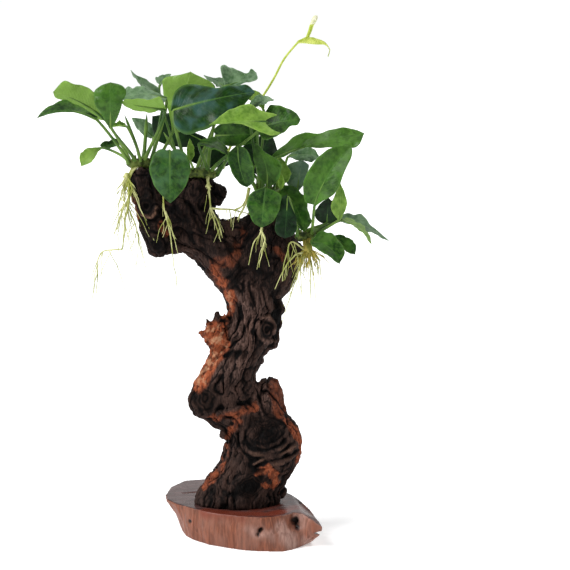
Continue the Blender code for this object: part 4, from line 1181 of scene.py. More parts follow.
@dataclass(frozen=True)
class Rhizome:
    """A creeping stem: its name, both ends, its radius, and the stalks without a blade that stand on it."""

    name: str
    start: Point
    end: Point
    radius: float
    bare: tuple[tuple, ...] = ()
    steps: int = 60
    rings: int = 7
    stubs: int = 7

    def axis(self, along: float) -> Vector:
        """Returns the middle of the stem at a share of its length."""
        rise = Vector((0, 0, 1.2 * math.sin(math.pi * along)))
        return Vector(self.start).lerp(Vector(self.end), along) + rise

    def girth(self, along: float) -> float:
        """Returns the radius at a share of the length, with knuckles and tapered ends."""
        return self.radius * (1 - 0.45 * abs(2 * along - 1) ** 4) * (1 + 0.05 * math.cos(along * 30))

    def petiole_start(self, along: float, around: float) -> tuple[Vector, Vector]:
        """Args:
            along: the share of the stem's length.
            around: the angle round the stem, 0 at the back and 90 on top.

        Returns:
            A point just off the stem and the way out from it.
        """
        way = (Vector(self.end) - Vector(self.start)).normalized()
        back = Vector((0, 0, 1)).cross(way).normalized()
        turn = math.radians(around)
        out = back * math.cos(turn) + way.cross(back) * math.sin(turn)
        place = min(max(along, 0.04), 0.96)
        return self.axis(place) + out * (self.girth(place) - 0.6), out

    def build(self) -> Piece:
        """Returns:
            The stem with its ring scars and the stubs of old stalks.
        """
        rows = []
        for i in range(self.steps + 1):
            t = i / self.steps
            ring = 0.30 * max(0.0, math.cos(2 * math.pi * t * self.rings)) ** 6
            close = min(1.0, 6 * t + 0.35, 6 * (1 - t) + 0.35)
            rows.append((*self.axis(t), (self.girth(t) + ring - 0.15) * close))
        strands = [np.array(rows)]
        dice = random.Random(self.name)
        for _ in range(self.stubs):
            root, out = self.petiole_start(dice.uniform(0.05, 0.95), dice.uniform(20, 160))
            length = dice.uniform(1.5, 3.5)
            stub = [(*(root + out * length * s), 1.1 - 0.5 * s) for s in (0, 0.4, 0.8, 1)]
            strands.append(np.array(stub))
        piece = tubes(f"stem_{self.name}", strands, 14)
        roughen(piece, (0.28, 71, 1.6), (0.2, 72, 3.5))
        dress(piece, RHIZOME.material())
        if self.bare:
            piece = join(piece.name, [piece, self.stalks()])
        return finish_piece(piece, "rhizome", f"rhizome_{self.name}")

    def stalks(self) -> Piece:
        """Returns:
            The stalks without a blade, thicker at the foot and pointed at the top.
        """
        strands = []
        for stalk in self.bare:
            path = curve_through(stalk[:-1], 10)
            t = np.linspace(0, 1, len(path))
            strands.append(np.column_stack((path, stalk[-1] * (1.25 - 0.35 * t) * np.minimum(1, 7 * (1.02 - t)))))
        return dress(tubes("bare", strands, 10), STALK.material())


RHIZOMES = {
    stem.name: stem
    for stem in (
        Rhizome("left", (-91, -11, 303), (-66, -3, 302), 4.2, (
            ((-80, -7, 304), (-85, 4, 318), (-94, 8, 341), 1.2), ((-79, -7, 304), (-78, 2, 314), (-76, 5, 342), 1.5),
        )),
        Rhizome("middle", (-48, -7, 296), (-20, 3, 293), 4.2, (
            ((-40, -4, 295), (-50, 9, 306), (-64, 16, 327), 1.3), ((-24, 3, 294), (-17, 12, 301), (-8, 14, 311), 1.2),
        )),
        Rhizome("centre", (9, 0, 280), (33, 6, 279), 4.2), Rhizome("right", (41, -15, 246), (58, -8, 245), 4.2),
    )
}

# Places along a blade where its half widths are given, and how far the margin is swept back there
Stations = tuple[tuple[float, float], ...]
LONG: Stations = ((0.03, 0.08), (0.14, 0.06), (0.32, 0.02), (0.55, 0), (0.77, 0), (0.92, 0))
PLAIN: Stations = ((0.04, 0.05), (0.25, 0.02), (0.5, 0), (0.8, 0))
SHORT: Stations = ((0.05, 0.04), (0.25, 0.02), (0.52, 0), (0.82, 0))
EARED: Stations = ((0.03, 0.21), (0.14, 0.15), (0.32, 0.09), (0.55, 0.03), (0.77, 0), (0.92, 0))


@dataclass(frozen=True)
class Form:
    """A blade's outline: its half widths left and right of the midrib, as shares of the widest, and where they lie."""

    left: tuple[float, ...]
    right: tuple[float, ...]
    stations: Stations = LONG

    def rows(self) -> list[tuple[float, ...]]:
        """Returns:
            Place, left, right and sweep from foot to tip, with ears where the foot is swept far back.
        """
        rows = [(place, *widths, sweep) for (place, sweep), *widths in zip(self.stations, self.left, self.right)]
        _, left, right, sweep = rows[0]
        foot = (0, 0.92 * left, 0.8 * right, 1.1 * sweep) if sweep > 0.2 else (0, 0.08, 0.08, 0.3 * sweep)
        return [foot, *rows, (1, 0, 0, 0)]


PLAIN_FORM = Form((0.45, 0.95, 0.96, 0.52), (0.45, 0.95, 0.96, 0.52), PLAIN)
FORMS = {
    "hang_1": Form((0.46, 0.86, 1, 0.9, 0.58, 0.24), (0.46, 0.86, 1, 0.9, 0.58, 0.24)),
    "left_1": Form((0.07, 0.25, 0.1, 0.17, 0.13, 0.03), (0.07, 0.2, 0.73, 1, 0.77, 0.42)),
    "left_2": Form((0.08, 0.54, 0.98, 1, 0.88, 0.82), (0.08, 0.33, 0.49, 0.42, 0.37, 0.37)),
    "left_3": Form((0.08, 0.22, 0.57, 0.98, 1, 0.64), (0.08, 0.25, 0.54, 0.73, 0.97, 0.8)),
    "left_5": Form((0.08, 0.33, 0.68, 0.39), (0.14, 0.64, 1, 0.74), SHORT),
    "left_6": Form((0.19, 0.62, 1, 0.96), (0.58, 0.81, 0.46, 0.42), SHORT),
    "centre_1": Form((0.16, 0.84, 1, 0.66), (0.16, 0.66, 0.55, 0.08), SHORT),
    "centre_2": Form((0.09, 0.71, 1, 0.95, 0.7, 0.47), (0.09, 0.16, 0.4, 0.79, 0.97, 0.86)),
    "centre_3": Form((0.04, 1, 0.79, 0.65, 0.51, 0.39), (0.04, 0.1, 0.56, 0.55, 0.42, 0.22)),
    "centre_5": Form((0.05, 0.57, 0.89, 0.99, 1, 0.94), (0.05, 0.16, 0.44, 0.78, 0.87, 0.3)),
    "centre_6": Form((0.04, 0.7, 0.82, 0.43, 0.38, 0.36), (0.65, 1, 0.99, 0.85, 0.54, 0.2)),
    "centre_7": Form((0.9, 0.92, 0.49, 0.11, 0.03, 0.03), (0.45, 0.62, 1, 0.91, 0.49, 0.15), EARED),
    "centre_8": Form((0.06, 0.44, 0.84, 0.78, 0.59, 0.33), (0.06, 0.68, 1, 0.75, 0.37, 0.32)),
    "centre_9": Form((0.43, 0.84, 1, 0.85, 0.68, 0.5), (0.28, 0.6, 0.83, 0.85, 0.71, 0.51)),
    "centre_10": Form((0.07, 0.95, 1, 0.53, 0.22, 0.3), (0.07, 0.16, 0.26, 0.22, 0.4, 0.4)),
    "middle_1": Form((0.09, 0.65, 0.91, 1, 0.86, 0.6), (0.09, 0.61, 0.68, 0.56, 0.44, 0.25)),
    "middle_2": Form((0.03, 0.22, 0.45, 0.5, 0.39, 0.15), (0.07, 0.55, 0.86, 1, 0.29, 0.14)),
    "middle_4": Form((0.08, 0.9, 0.98, 0.89, 0.69, 0.33), (0.08, 0.69, 1, 0.92, 0.67, 0.42)),
    "middle_5": Form((0.05, 0.12, 0.57, 0.98, 1, 0.71), (0.12, 0.69, 0.8, 0.94, 0.98, 0.75)),
    "middle_6": Form((0.11, 0.72, 1, 0.87, 0.76, 0.63), (0.11, 0.67, 0.89, 0.81, 0.56, 0.37)),
    "right_1": Form((0.09, 0.55, 0.91, 0.7, 0.61, 0.35), (0.09, 0.32, 0.03, 0.71, 0.99, 1)),
    "right_3": Form((0.49, 0.79, 1, 0.96, 0.77, 0.42), (0.07, 0.37, 0.87, 0.76, 0.57, 0.32)),
    "right_4": Form((0.12, 0.51, 1, 0.9, 0.45, 0.24), (0.06, 0.24, 0.57, 0.56, 0.35, 0.11)),
    "right_6": Form((0.08, 0.65, 0.84, 1, 0.79, 0.41), (0.08, 0.23, 0.45, 0.48, 0.48, 0.46)),
    "right_8": Form((0.3, 0.85, 1, 0.37, 0.13, 0.07), (0.2, 0.5, 0.64, 0.7, 0.49, 0.21)),
    "right_9": Form((0.83, 1, 0.98, 0.83, 0.79, 0.73), (0.09, 0.49, 0.67, 0.65, 0.5, 0.27)),
    "right_10": Form((0.4, 0.86, 1, 0.87), (0.19, 0.38, 0.68, 0.59), SHORT),
    "hang_4": Form((0.1, 0.78, 0.97, 0.99), (0.1, 0.86, 1, 0.93), SHORT),
    "centre_14": Form((0.07, 0.32, 0.77, 1, 0.97, 0.47), (0.07, 0.21, 0.15, 0.13, 0.49, 0.18)),
    "centre_4": Form((0.54, 1, 0.67, 0.28), (0.85, 0.73, 0.61, 0.61), SHORT),
    "centre_11": Form((0.42, 0.89, 1, 0.72), (0.62, 0.84, 0.28, 0.05), SHORT),
    "centre_12": Form((0.13, 0.4, 0.74, 1), (0.12, 0.46, 0.63, 0.34), SHORT),
    "right_2": Form((0.17, 0.59, 0.88, 0.84), (0.17, 0.71, 1, 0.97), SHORT),
}


@dataclass(frozen=True)
class Habit:
    """How one blade differs from a plain one: its margin's waves, its fold, its tip's droop, its tint, which is partly
    painted light and painted shade, and its painted blue sheen.
    """

    wave: float = 0.7
    waves: float = 2.6
    fold: float = 1.2
    droop: float = 0.0
    tint: float = 0.15
    chill: float = 0.0


@dataclass(frozen=True)
class Leaf:
    """One leaf: where it grows, its blade's base and tip, width, upper face, bow, age and habit."""

    name: str
    rhizome: str
    along: float
    around: float
    base: Point
    tip: Point
    width: float
    face: Point
    arch: float
    sway: float
    cup: float
    look: Look
    habit: Habit = field(default_factory=Habit)
    thickness: float = 0.55
    stalk_steps: int = 18
    rib_steps: int = 12

    @property
    def girth(self) -> float:
        """The radius of the stalk, which is thinner on a small leaf."""
        return min(1.15, 0.75 + 0.018 * self.width)

    def axes(self) -> tuple[np.ndarray, np.ndarray, np.ndarray]:
        """Returns:
            The blade's reach, its side and its upward way.
        """
        reach = Vector(self.tip) - Vector(self.base)
        side = reach.cross(Vector(self.face)).normalized()
        return np.array(reach), np.array(side), np.array(side.cross(reach).normalized())

    def spine(self, t: np.ndarray) -> np.ndarray:
        """Args:
            t: shares of the blade's length.

        Returns:
            Points of the midrib there.
        """
        reach, side, up = self.axes()
        bow = 4 * t * (1 - t)
        bend = up * self.arch + side * self.sway
        return np.array(self.base) + np.outer(t, reach) + np.outer(bow, bend) - np.outer(self.habit.droop * t**4, up)

    def surface(self, t: np.ndarray, s: np.ndarray) -> np.ndarray:
        """Args:
            t: shares along the blade, from foot to tip.
            s: shares across it, -1 and 1 at the margins.

        Returns:
            Points of the blade in millimetres.
        """
        reach, side, up = self.axes()
        habit = self.habit
        spread = curve_through(FORMS.get(self.name, PLAIN_FORM).rows(), 12)
        order = np.maximum.accumulate(spread[:, 0])
        left, right = (np.interp(t, order, np.maximum(spread[:, column], 0)) for column in (1, 2))
        wide = np.where(s < 0, left, right)
        sweep = np.interp(t, order, spread[:, 3])
        out = s * wide * self.width / 2
        phase = sum(ord(letter) for letter in self.name) * 0.7
        ripple = np.sin(2 * math.pi * habit.waves * t + phase + 1.7 * (s > 0))
        ripple += 0.5 * np.sin(2 * math.pi * habit.waves * 2.3 * t + 2 * phase + 0.9 * (s > 0))
        lift = self.cup * wide * s**2 + habit.fold * wide * (np.sqrt(s**2 + 0.02) - 0.14)
        lift += habit.wave * ripple * np.abs(s) ** 2.5 * wide
        vein = np.cos(VEINS * math.pi * (t - VEIN_BOW * np.abs(s) ** VEIN_CURVE)) * np.abs(s) * (1 - s**4)
        lift += 0.035 * vein * wide - 0.35 * bell(out, 0.9) * (1 - t)
        spine = self.spine(t)
        points = spine - np.outer(sweep * s**2, reach) + np.outer(out, side)
        margin = 1 + 0.02 * np.sin(19 * t + phase) * np.abs(s)
        points = spine + (points - spine) * margin[:, None]
        seed = int(phase * 10)
        lift += np.abs(s) * layered(points, (0.9, seed, 12), (0.4, seed + 1, 5)) * min(1, self.width / 24)
        return points + np.outer(lift, up)

    def blade(self) -> Piece:
        """Returns:
            The blade as a thin plate with its own map.
        """
        piece, share, s = plate("blade", 56 if self.width > 30 else 44, 22)
        t = (1 - np.cos(math.pi * share)) / 2
        write_points(piece, self.surface(t, s))
        loops = np.empty(len(piece.data.loops), np.int32)
        piece.data.loops.foreach_get("vertex_index", loops)
        piece.data.uv_layers.active.name = "blade"
        piece.data.uv_layers["blade"].data.foreach_set("uv", np.column_stack((t, (s + 1) / 2))[loops].ravel())
        return piece

    def stalk(self) -> Piece:
        """Returns:
            The petiole, which runs on under the blade as its midrib.
        """
        stem = RHIZOMES[self.rhizome]
        root, out = stem.petiole_start(self.along, self.around)
        reach, side, up = self.axes()
        base = Vector(self.base)
        gap = (base - root).length
        ahead = Vector(reach + (up * self.arch + side * self.sway) * 4).normalized()
        b, c = root + out * gap * 0.12, base - ahead * gap * 0.12
        rows = []
        for i in range(self.stalk_steps):
            t = i / self.stalk_steps
            point = root * (1 - t) ** 3 + b * 3 * t * (1 - t) ** 2 + c * 3 * t * t * (1 - t) + base * t**3
            rows.append((*point, self.girth * (1.0 + 0.35 * (1 - t) ** 2 + 0.35 * (1 - t) ** 8)))
        for t in np.linspace(0, 0.72, self.rib_steps):
            point = self.spine(np.array([t]))[0] - up * (0.45 + 0.15 * (1 - t))
            rows.append((*point, self.girth * (1 - t / 0.74) ** 0.8))
        return tubes("stalk", [np.array(rows)], 8)

    def build(self, looks: dict[Look, tuple[Material, ...]]) -> Piece:
        """Args:
            looks: the upper, under and stalk materials of each age.

        Returns:
            The finished leaf.
        """
        blade, stalk = self.blade(), self.stalk()
        apply_modifier(
            dress(blade, *looks[self.look]), "SOLIDIFY", thickness=self.thickness * MM, offset=0, use_even_offset=False,
            material_offset=1, material_offset_rim=0,
        )
        piece = join(f"blade_{self.name}", [blade, dress(stalk, looks[self.look][2])])
        bpy.ops.object.shade_smooth()
        write_marks(piece, tint=self.habit.tint, chill=self.habit.chill)
        return finish_piece(piece, self.look.value, f"leaf_{self.name}")


# Leaves by the rhizome they grow from: place along and around it, blade base, blade tip, width, where the upper face
# looks, how far the blade bows up and sideways, how far its margins stand up, age and habit
LEAVES: dict[str, dict[str, tuple]] = {
    "left": {
        "left_1": (
            0.02, 150, (-115, -12, 339), (-159, -16, 339), 27.4, (0, -0.5, 0.87), 7, 0, -1, DEEP,
            Habit(fold=2.0, tint=0.1),
        ),
        "left_2": (
            0.1, 60, (-110, 6, 338), (-149, 2, 359), 25.8, (-0.3, 0.85, 0.45), 0, -3, 1, YOUNG,
            Habit(wave=0.9, fold=0.8, tint=0.3),
        ),
        "left_3": (
            0.22, 130, (-101, -26, 333), (-100, -31, 366), 24.2, (0.1, -1, 0.2), 4, 0, -4, DEEP,
            Habit(wave=1.2, fold=2.6, droop=3.0, tint=0.42),
        ),
        "left_4": (0.4, 150, (-91, -13, 333), (-101, -17, 332), 6, (0, -0.5, 0.8), 1, 0, 1, YOUNG),
        "left_5": (0.02, 80, (-113, 2, 315), (-128, 0, 301), 14.4, (0, -0.8, 0.6), 1, 0, 1, YOUNG, Habit(tint=0.3)),
        "left_6": (0.3, 30, (-99, 12, 318), (-114, 8, 317), 9.6, (0, -0.85, 0.5), 1, 0, 1, DEEP),
        "left_7": (0.6, 20, (-74, 28, 323), (-91, 32, 338), 13, (0.4, -0.8, 0.5), 1, 0, 1, PALE),
        "centre_1": (
            0.8, 50, (-65, 12, 356), (-89, 13, 376), 12.8, (-0.4, -0.3, 0.85), 2, -4, 1, PALE,
            Habit(fold=2.0),
        ),
        "centre_2": (
            0.75, 110, (-60, -14, 354), (-93, -17, 354), 23.4, (0, -0.5, 0.85), 4, 0, -1, PALE,
            Habit(wave=1.2, fold=2.0, tint=0.3),
        ),
        "centre_3": (
            0.55, 120, (-60, -27, 346), (-92, -27, 351), 22.2, (0.2, 0.7, 0.65), 0, 0, -1, YOUNG,
            Habit(tint=0.25),
        ),
        "centre_5": (
            0.95, 110, (-54, -4, 330), (-41, 0, 374.5), 42.5, (0.1, 0.9, 0.3), 2, 0, 2, YOUNG,
            Habit(wave=1.4, waves=2.2, fold=0.6, tint=0.25),
        ),
        "hang_1": (
            1, 150, (-55, -34, 314), (-55, -36, 275), 31, (0, -1, 0.15), 1, 0, -2, DEEP,
            Habit(wave=0.9, fold=1.8, tint=-0.1, chill=0.4),
        ),
    },
    "middle": {
        "centre_4": (0.04, 30, (-67, 24, 365), (-59, 30, 373), 13.4, (-0.3, -0.5, 0.8), 1, 0, 1, PALE),
        "centre_6": (
            0.1, 150, (-51, -32, 346), (10, -24, 359), 45.2, (-0.1, -0.85, 0.5), 3, 0, -3, DEEP,
            Habit(wave=1.8, waves=2.0, fold=1.6, tint=-0.7, chill=0.9),
        ),
        "centre_7": (
            0.8, 120, (18, -36, 337), (-24, -44, 335), 26.6, (0, -0.85, 0.5), 2, 0, -1, YOUNG,
            Habit(wave=0.9, fold=2.2, tint=0.28),
        ),
        "centre_10": (
            0.72, 60, (-13, 14, 364), (10, 22, 374), 30.6, (-0.2, -0.9, 0.45), -2, 0, 3, PALE,
            Habit(wave=1.3, fold=2.0),
        ),
        "centre_11": (0.45, 45, (-16, 28, 363), (-32, 26, 372), 16.2, (0.2, -0.5, 0.8), 1, 0, 1, PALE),
        "centre_14": (0.55, 30, (-30, 24, 318), (-74, 30, 339), 35, (0.2, -0.9, 0.4), 1, 0, 1, DARK),
        "hang_2": (0.66, 120, (-33, -22, 320), (-11, -26, 311), 16, (0, -0.4, 0.9), 4, 0, 0, DEEP, Habit(tint=0.05)),
        "hang_3": (0.28, 125, (-41, -14, 307), (-41, -14, 323), 6, (0.3, -0.9, 0), 0, 0, 1, YOUNG),
        "hang_4": (0.6, 5, (-26, 33, 322), (-29, 34, 297), 32, (0, -1, 0), 1, 0, 1, DARK),
        "middle_1": (
            0.98, 150, (-3, -30, 317), (4, -32, 287), 22.8, (-0.2, -0.95, 0.1), 1, 2, 2, DEEP,
            Habit(wave=1.0, fold=2.4, tint=-0.5),
        ),
    },
    "centre": {
        "centre_8": (
            0.25, 150, (13, -18, 331), (45, -24, 338), 34.2, (0, -0.8, 0.6), 3, 0, 2, DEEP,
            Habit(wave=1.5, waves=2.1, fold=1.8, tint=0.12),
        ),
        "centre_9": (
            0.02, 90, (-21, -2, 325), (13, -2, 326), 20.6, (0, -1, 0.1), 3, 0, 0, DEEP,
            Habit(fold=1.8, tint=-0.3),
        ),
        "centre_12": (0.1, 60, (16, -2, 346), (6, -2, 361), 16.4, (0.3, -0.8, 0.5), 1, 0, 1, YOUNG),
        "centre_13": (0.16, 120, (7, -17, 348), (25, -13, 353), 15, (0, -0.4, 0.9), 3, 0, -1, PALE),
        "middle_2": (
            0.02, 160, (19, -17, 287), (10, -24, 320), 30, (-0.4, -0.9, 0.1), 1, 4, 2, DEEP,
            Habit(wave=1.3, fold=3.0, tint=0.35),
        ),
        "middle_3": (0.6, 150, (25, -8, 288), (29, -9, 309), 20, (0.3, -0.9, 0.1), 1, 0, 2, YOUNG, Habit(fold=2.2)),
        "middle_4": (
            0.34, 178, (18, -33, 285), (15, -35, 256), 26.2, (0, -1, 0.2), 2, 0, -2, DEEP,
            Habit(wave=0.9, fold=2.2, tint=-0.2),
        ),
        "middle_6": (
            0.9, 140, (31, -8, 284), (48, -18, 251), 18.8, (0.3, -0.8, 0.4), 2, -2, 2, DEEP,
            Habit(wave=1.2, fold=2.2, tint=0.12),
        ),
        "middle_7": (0.5, 170, (30, -25, 286), (30, -25, 297), 5, (0, -1, 0.1), 0, 0, 1, YOUNG),
        "middle_8": (0.35, 50, (7, 14, 296), (22, 18, 326), 30, (0, -0.9, 0.3), 1, 0, 1, DARK),
        "right_1": (
            0.75, 90, (26, 2, 308), (95, -6, 327), 23.4, (0, -0.75, 0.66), 4, 0, 0, DEEP,
            Habit(wave=1.4, waves=2.4, fold=2.8, tint=0.6),
        ),
        "right_2": (0.95, 60, (36, 14, 308), (60, 12, 308), 15, (0, -0.7, 0.7), 2, 0, 0, PALE),
    },
    "right": {
        "middle_5": (0.05, 140, (35, -31, 279), (33, -38, 248), 16.6, (0, -1, -0.1), 1, 0, -1, DARK),
        "right_3": (
            0.7, 130, (56, -34, 274), (84, -30, 318), 28.4, (-0.1, -0.95, 0.3), 3, -3, 1, DEEP,
            Habit(wave=1.3, waves=2.2, fold=3.2, tint=0.34),
        ),
        "right_4": (
            0.98, 110, (76, -14, 261), (76, -18, 289), 16, (0.2, -0.9, 0.2), 1, 0, 1, YOUNG,
            Habit(wave=0.9, fold=2.2),
        ),
        "right_5": (0.5, 95, (66, -8, 257), (67, -13, 277), 20, (0, -1, 0.1), 1, 0, 0, DARK),
        "right_6": (
            0.15, 70, (43, 0, 283), (47, -7, 306), 25.6, (0, -0.7, 0.7), 2, 0, 0, PALE,
            Habit(wave=1.3, fold=2.2, tint=0.2, chill=0.5),
        ),
        "right_7": (0.98, 60, (80, -6, 259), (101, -14, 241), 20, (-0.2, 0.1, 1), 3, 0, 0, YOUNG),
        "right_8": (
            0.85, 40, (78, 10, 257), (116, 6, 241), 19.4, (0.2, -0.5, 0.85), 4, 0, 0, PALE,
            Habit(wave=1.2, fold=2.4, tint=0.2),
        ),
        "right_9": (
            0.85, 165, (54, -30, 244), (75, -36, 228), 22.8, (0.3, -0.8, 0.6), 3, -4, 0, DEEP,
            Habit(wave=0.9, fold=2.0, tint=0.14),
        ),
        "right_10": (
            1, 150, (71, -16, 246), (88, -18, 233), 12.6, (0.1, -0.7, 0.6), 2, 0, 0, DEEP,
            Habit(fold=1.8, tint=-0.2),
        ),
    },
}


@dataclass
class Foliage:
    """All the leaves, grouped by the rhizome they grow from."""

    rows: dict[str, dict[str, tuple]] = field(default_factory=lambda: LEAVES)

    def build(self) -> list[Piece]:
        """Returns:
            The finished leaves.
        """
        stalk = STALK.material()
        looks = {finish.look: (finish.blade(True), finish.blade(False), stalk) for finish in LEAF_FINISHES}
        return [
            Leaf(name, rhizome, *row).build(looks)
            for rhizome, leaves in self.rows.items()
            for name, row in leaves.items()
        ]


@dataclass
class Flower:
    """The flower on its long stalk: a hooded leaf behind a club."""

    stalk_path: tuple[Point, ...] = (
        (-16, 3, 298.5), (-12, 6, 312), (-3, 10, 331), (5, 10, 343), (15, 9, 355), (24, 6, 369), (32, 3, 384),
        (41, 0, 395), (44.5, 0, 398),
    )
    club: tuple[tuple[float, float, float, float], ...] = (
        (47, 0, 397.6, 0.9), (48.8, 0, 399.4, 1.1), (50.5, 0, 401.5, 1.25), (52.4, 0, 406, 1.4), (54, 0, 411, 1.6),
        (56, 0, 415, 2.0), (57.2, 0, 417.2, 1.4), (57.5, 0, 418, 0.5),
    )
    club_turn: float = 411.0
    hood_base: Point = (42, 0, 396.6)
    hood_tip: Point = (68, 1, 395)
    hood_width: float = 12.0
    hood_thickness: float = 0.6

    def build(self) -> list[Piece]:
        """Returns:
            The stalk, the hood and the club.
        """
        skin = FLOWER_SKIN.material()
        path = curve_through(self.stalk_path, 8)
        share = np.linspace(0, 1, len(path))
        stalk = dress(tubes("bloom_stalk", [np.column_stack((path, 1.05 - 0.25 * share))], 10), skin)
        hood = dress(self.hood(), skin)
        club = dress(tubes("bloom_club", [curve_through(self.club, 8)], 16), skin, SPADIX_SKIN.material())
        points, normals = read_points(club), read_normals(club)
        write_points(club, points + normals * (0.16 * np.abs(Noise(81)(points / 0.75)))[:, None])
        for face in club.data.polygons:
            face.material_index = int(face.center.z > self.club_turn * MM)
        return [
            finish_piece(stalk, "flower", "flower_stalk"), finish_piece(hood, "flower", "flower_spathe"),
            finish_piece(club, "spadix", "flower_spadix"),
        ]

    def hood(self) -> Piece:
        """Returns:
            The hood: a boat-shaped leaf with its tip curled down.
        """
        piece, t, s = plate("bloom_hood", 36, 14)
        base, tip = np.array(self.hood_base), np.array(self.hood_tip)
        wide = np.interp(t, (0, 0.05, 0.25, 0.5, 0.75, 0.86, 0.92, 1), (0.15, 0.5, 0.98, 1.0, 0.72, 0.5, 0.16, 0.03))
        spine = base + np.outer(t, tip - base)
        spine[:, 2] += 2 * t * (1 - t) - np.interp(t, (0, 0.84, 0.9, 0.96, 1), (0, 0, 1, 5, 8.6))
        spine[:, 0] += np.interp(t, (0.86, 0.95, 1), (0, 1.6, -1.4))
        spine[:, 1] += s * wide * self.hood_width / 2
        spine[:, 2] += 4.4 * wide * s**2 + 0.25 * np.sin(9 * t + 2 * s)
        write_points(piece, spine)
        apply_modifier(piece, "SOLIDIFY", thickness=self.hood_thickness * MM, offset=0)
        bpy.ops.object.shade_smooth()
        return piece


@dataclass(frozen=True)
class RootPlan:
    """One tuft of roots: its name, its crown and how thick that is, its main strands with a radius each, its hairs, how
    many young roots twist below the crown, and the way from there up to the rhizome."""

    name: str
    crown: Point
    girth: float
    strands: tuple[tuple, ...]
    hairs: int
    hair_length: float
    tangle: int = 0
    hold: Point = (-1, 7, 8)


@dataclass
class Roots:
    """All the root tufts."""

    plans: tuple[RootPlan, ...]
    # More young roots than this give the whole crown their brown skin
    many: int = 20
    dice_seed: int = 100
    strand_seed: int = 200
    hair_seed: int = 500
    young_seed: int = 900

    @staticmethod
    def wander(path: np.ndarray, seed: int, reach: float) -> np.ndarray:
        """Args:
            path: rows of three coordinates.
            seed: picks one of many bends.
            reach: how far it bends sideways.

        Returns:
            The path with small sideways bends that grow along it.
        """
        share = np.linspace(0, 1, len(path))[:, None]
        bend = np.column_stack([Noise(seed + i)(path / 9 + seed) for i in range(3)])
        return path + bend * reach * np.minimum(1, 3 * share)

    def crown(self, plan: RootPlan, dice: random.Random) -> Piece:
        """Args:
            plan: the tuft.
            dice: where its random values come from.

        Returns:
            The knobbly crown that the roots grow from, with the young roots that twist below it.
        """
        middle = np.array(plan.crown)
        rise = np.linspace(-0.97, 0.97, 14)
        knob = middle + np.outer(rise * plan.girth, (0, 0, 1))
        strands = [np.column_stack((knob, 0.8 * plan.girth * np.sqrt(1 - rise**2)))]
        for young in range(plan.tangle):
            way = np.array((dice.uniform(-1, 1), dice.uniform(-0.6, 0.3), dice.uniform(-1.3, -0.2)))
            way *= dice.uniform(9, 18) / np.linalg.norm(way)
            fall = np.array((dice.uniform(-1, 1), 0, dice.uniform(-3, -1)))
            rows = np.array([middle + way * t + 2.0 * fall * t * t for t in np.linspace(0.15, 1, 9)])
            path = self.wander(rows, self.young_seed + young, 1.8)
            strands.append(np.column_stack((path, np.linspace(0.62, 0.22, len(path)))))
        for side in (-0.7, -0.3, 0.2, 0.6):
            top = middle + plan.hold + (side * plan.girth, 0, 0)
            foot = middle + (side * plan.girth, -1, -1 - side)
            rows = curve_through((foot, (foot + top) / 2 + (-side, -1, 1.5 * side), top), 5)
            strands.append(np.column_stack((rows, np.linspace(0.30, 0.20, len(rows)) * plan.girth)))
        for _ in range(8):
            way = np.array((dice.uniform(-1, 1), dice.uniform(-1, 0.4), dice.uniform(-1.6, 0.2)))
            way *= 1.25 * plan.girth / np.linalg.norm(way)
            rows = [middle + way * t + np.array((0, 0, -1.2 * t * t)) for t in np.linspace(0.2, 1, 6)]
            strands.append(np.column_stack((rows, np.linspace(0.8, 0.3, 6))))
        piece = tubes("crown", strands, 8)
        roughen(piece, (0.35, 75, 1.8))
        return piece

    def strands(self, plan: RootPlan, number: int, dice: random.Random) -> list[np.ndarray]:
        """Args:
            plan: the tuft.
            number: its place among the tufts.
            dice: where its random values come from.

        Returns:
            The main strands and the hairs that grow on them, as rows of x, y, z and radius.
        """
        strands = []
        for index, strand in enumerate(plan.strands):
            path = self.wander(curve_through(strand[:-1], 7), self.strand_seed + 20 * number + index, 0.8)
            share = np.linspace(0, 1, len(path))
            strands.append(np.column_stack((path, strand[-1] * (1 - 0.65 * share**1.5))))
        thick = list(strands)
        for hair in range(plan.hairs):
            source = thick[dice.randrange(len(thick))]
            start = source[dice.randrange(len(source) * 2 // 3)][:3]
            way = np.array((dice.uniform(-0.55, 0.55), dice.uniform(-0.4, 0.2), dice.uniform(-1.1, -0.6)))
            length = plan.hair_length * dice.uniform(0.4, 1.0)
            share = np.linspace(0, 1, 9)
            rows = [start + way * length * t + np.array((0, 0, -0.25 * length * t * t)) for t in share]
            path = self.wander(np.array(rows), self.hair_seed + 40 * number + hair, 1.2)
            strands.append(np.column_stack((path, 0.34 - 0.18 * share)))
        return strands

    def build(self) -> list[Piece]:
        """Returns:
            The finished tufts.
        """
        skin, young = ROOT.material(), YOUNG_ROOT.material()
        pieces = []
        for number, plan in enumerate(self.plans):
            dice = random.Random(self.dice_seed + number)
            tuft = tubes(f"tuft_{plan.name}", self.strands(plan, number, dice), 6)
            crown = dress(self.crown(plan, dice), young if plan.tangle > self.many else skin)
            piece = join(tuft.name, [dress(tuft, skin), crown])
            pieces.append(finish_piece(piece, "root", f"roots_{plan.name}"))
        return pieces


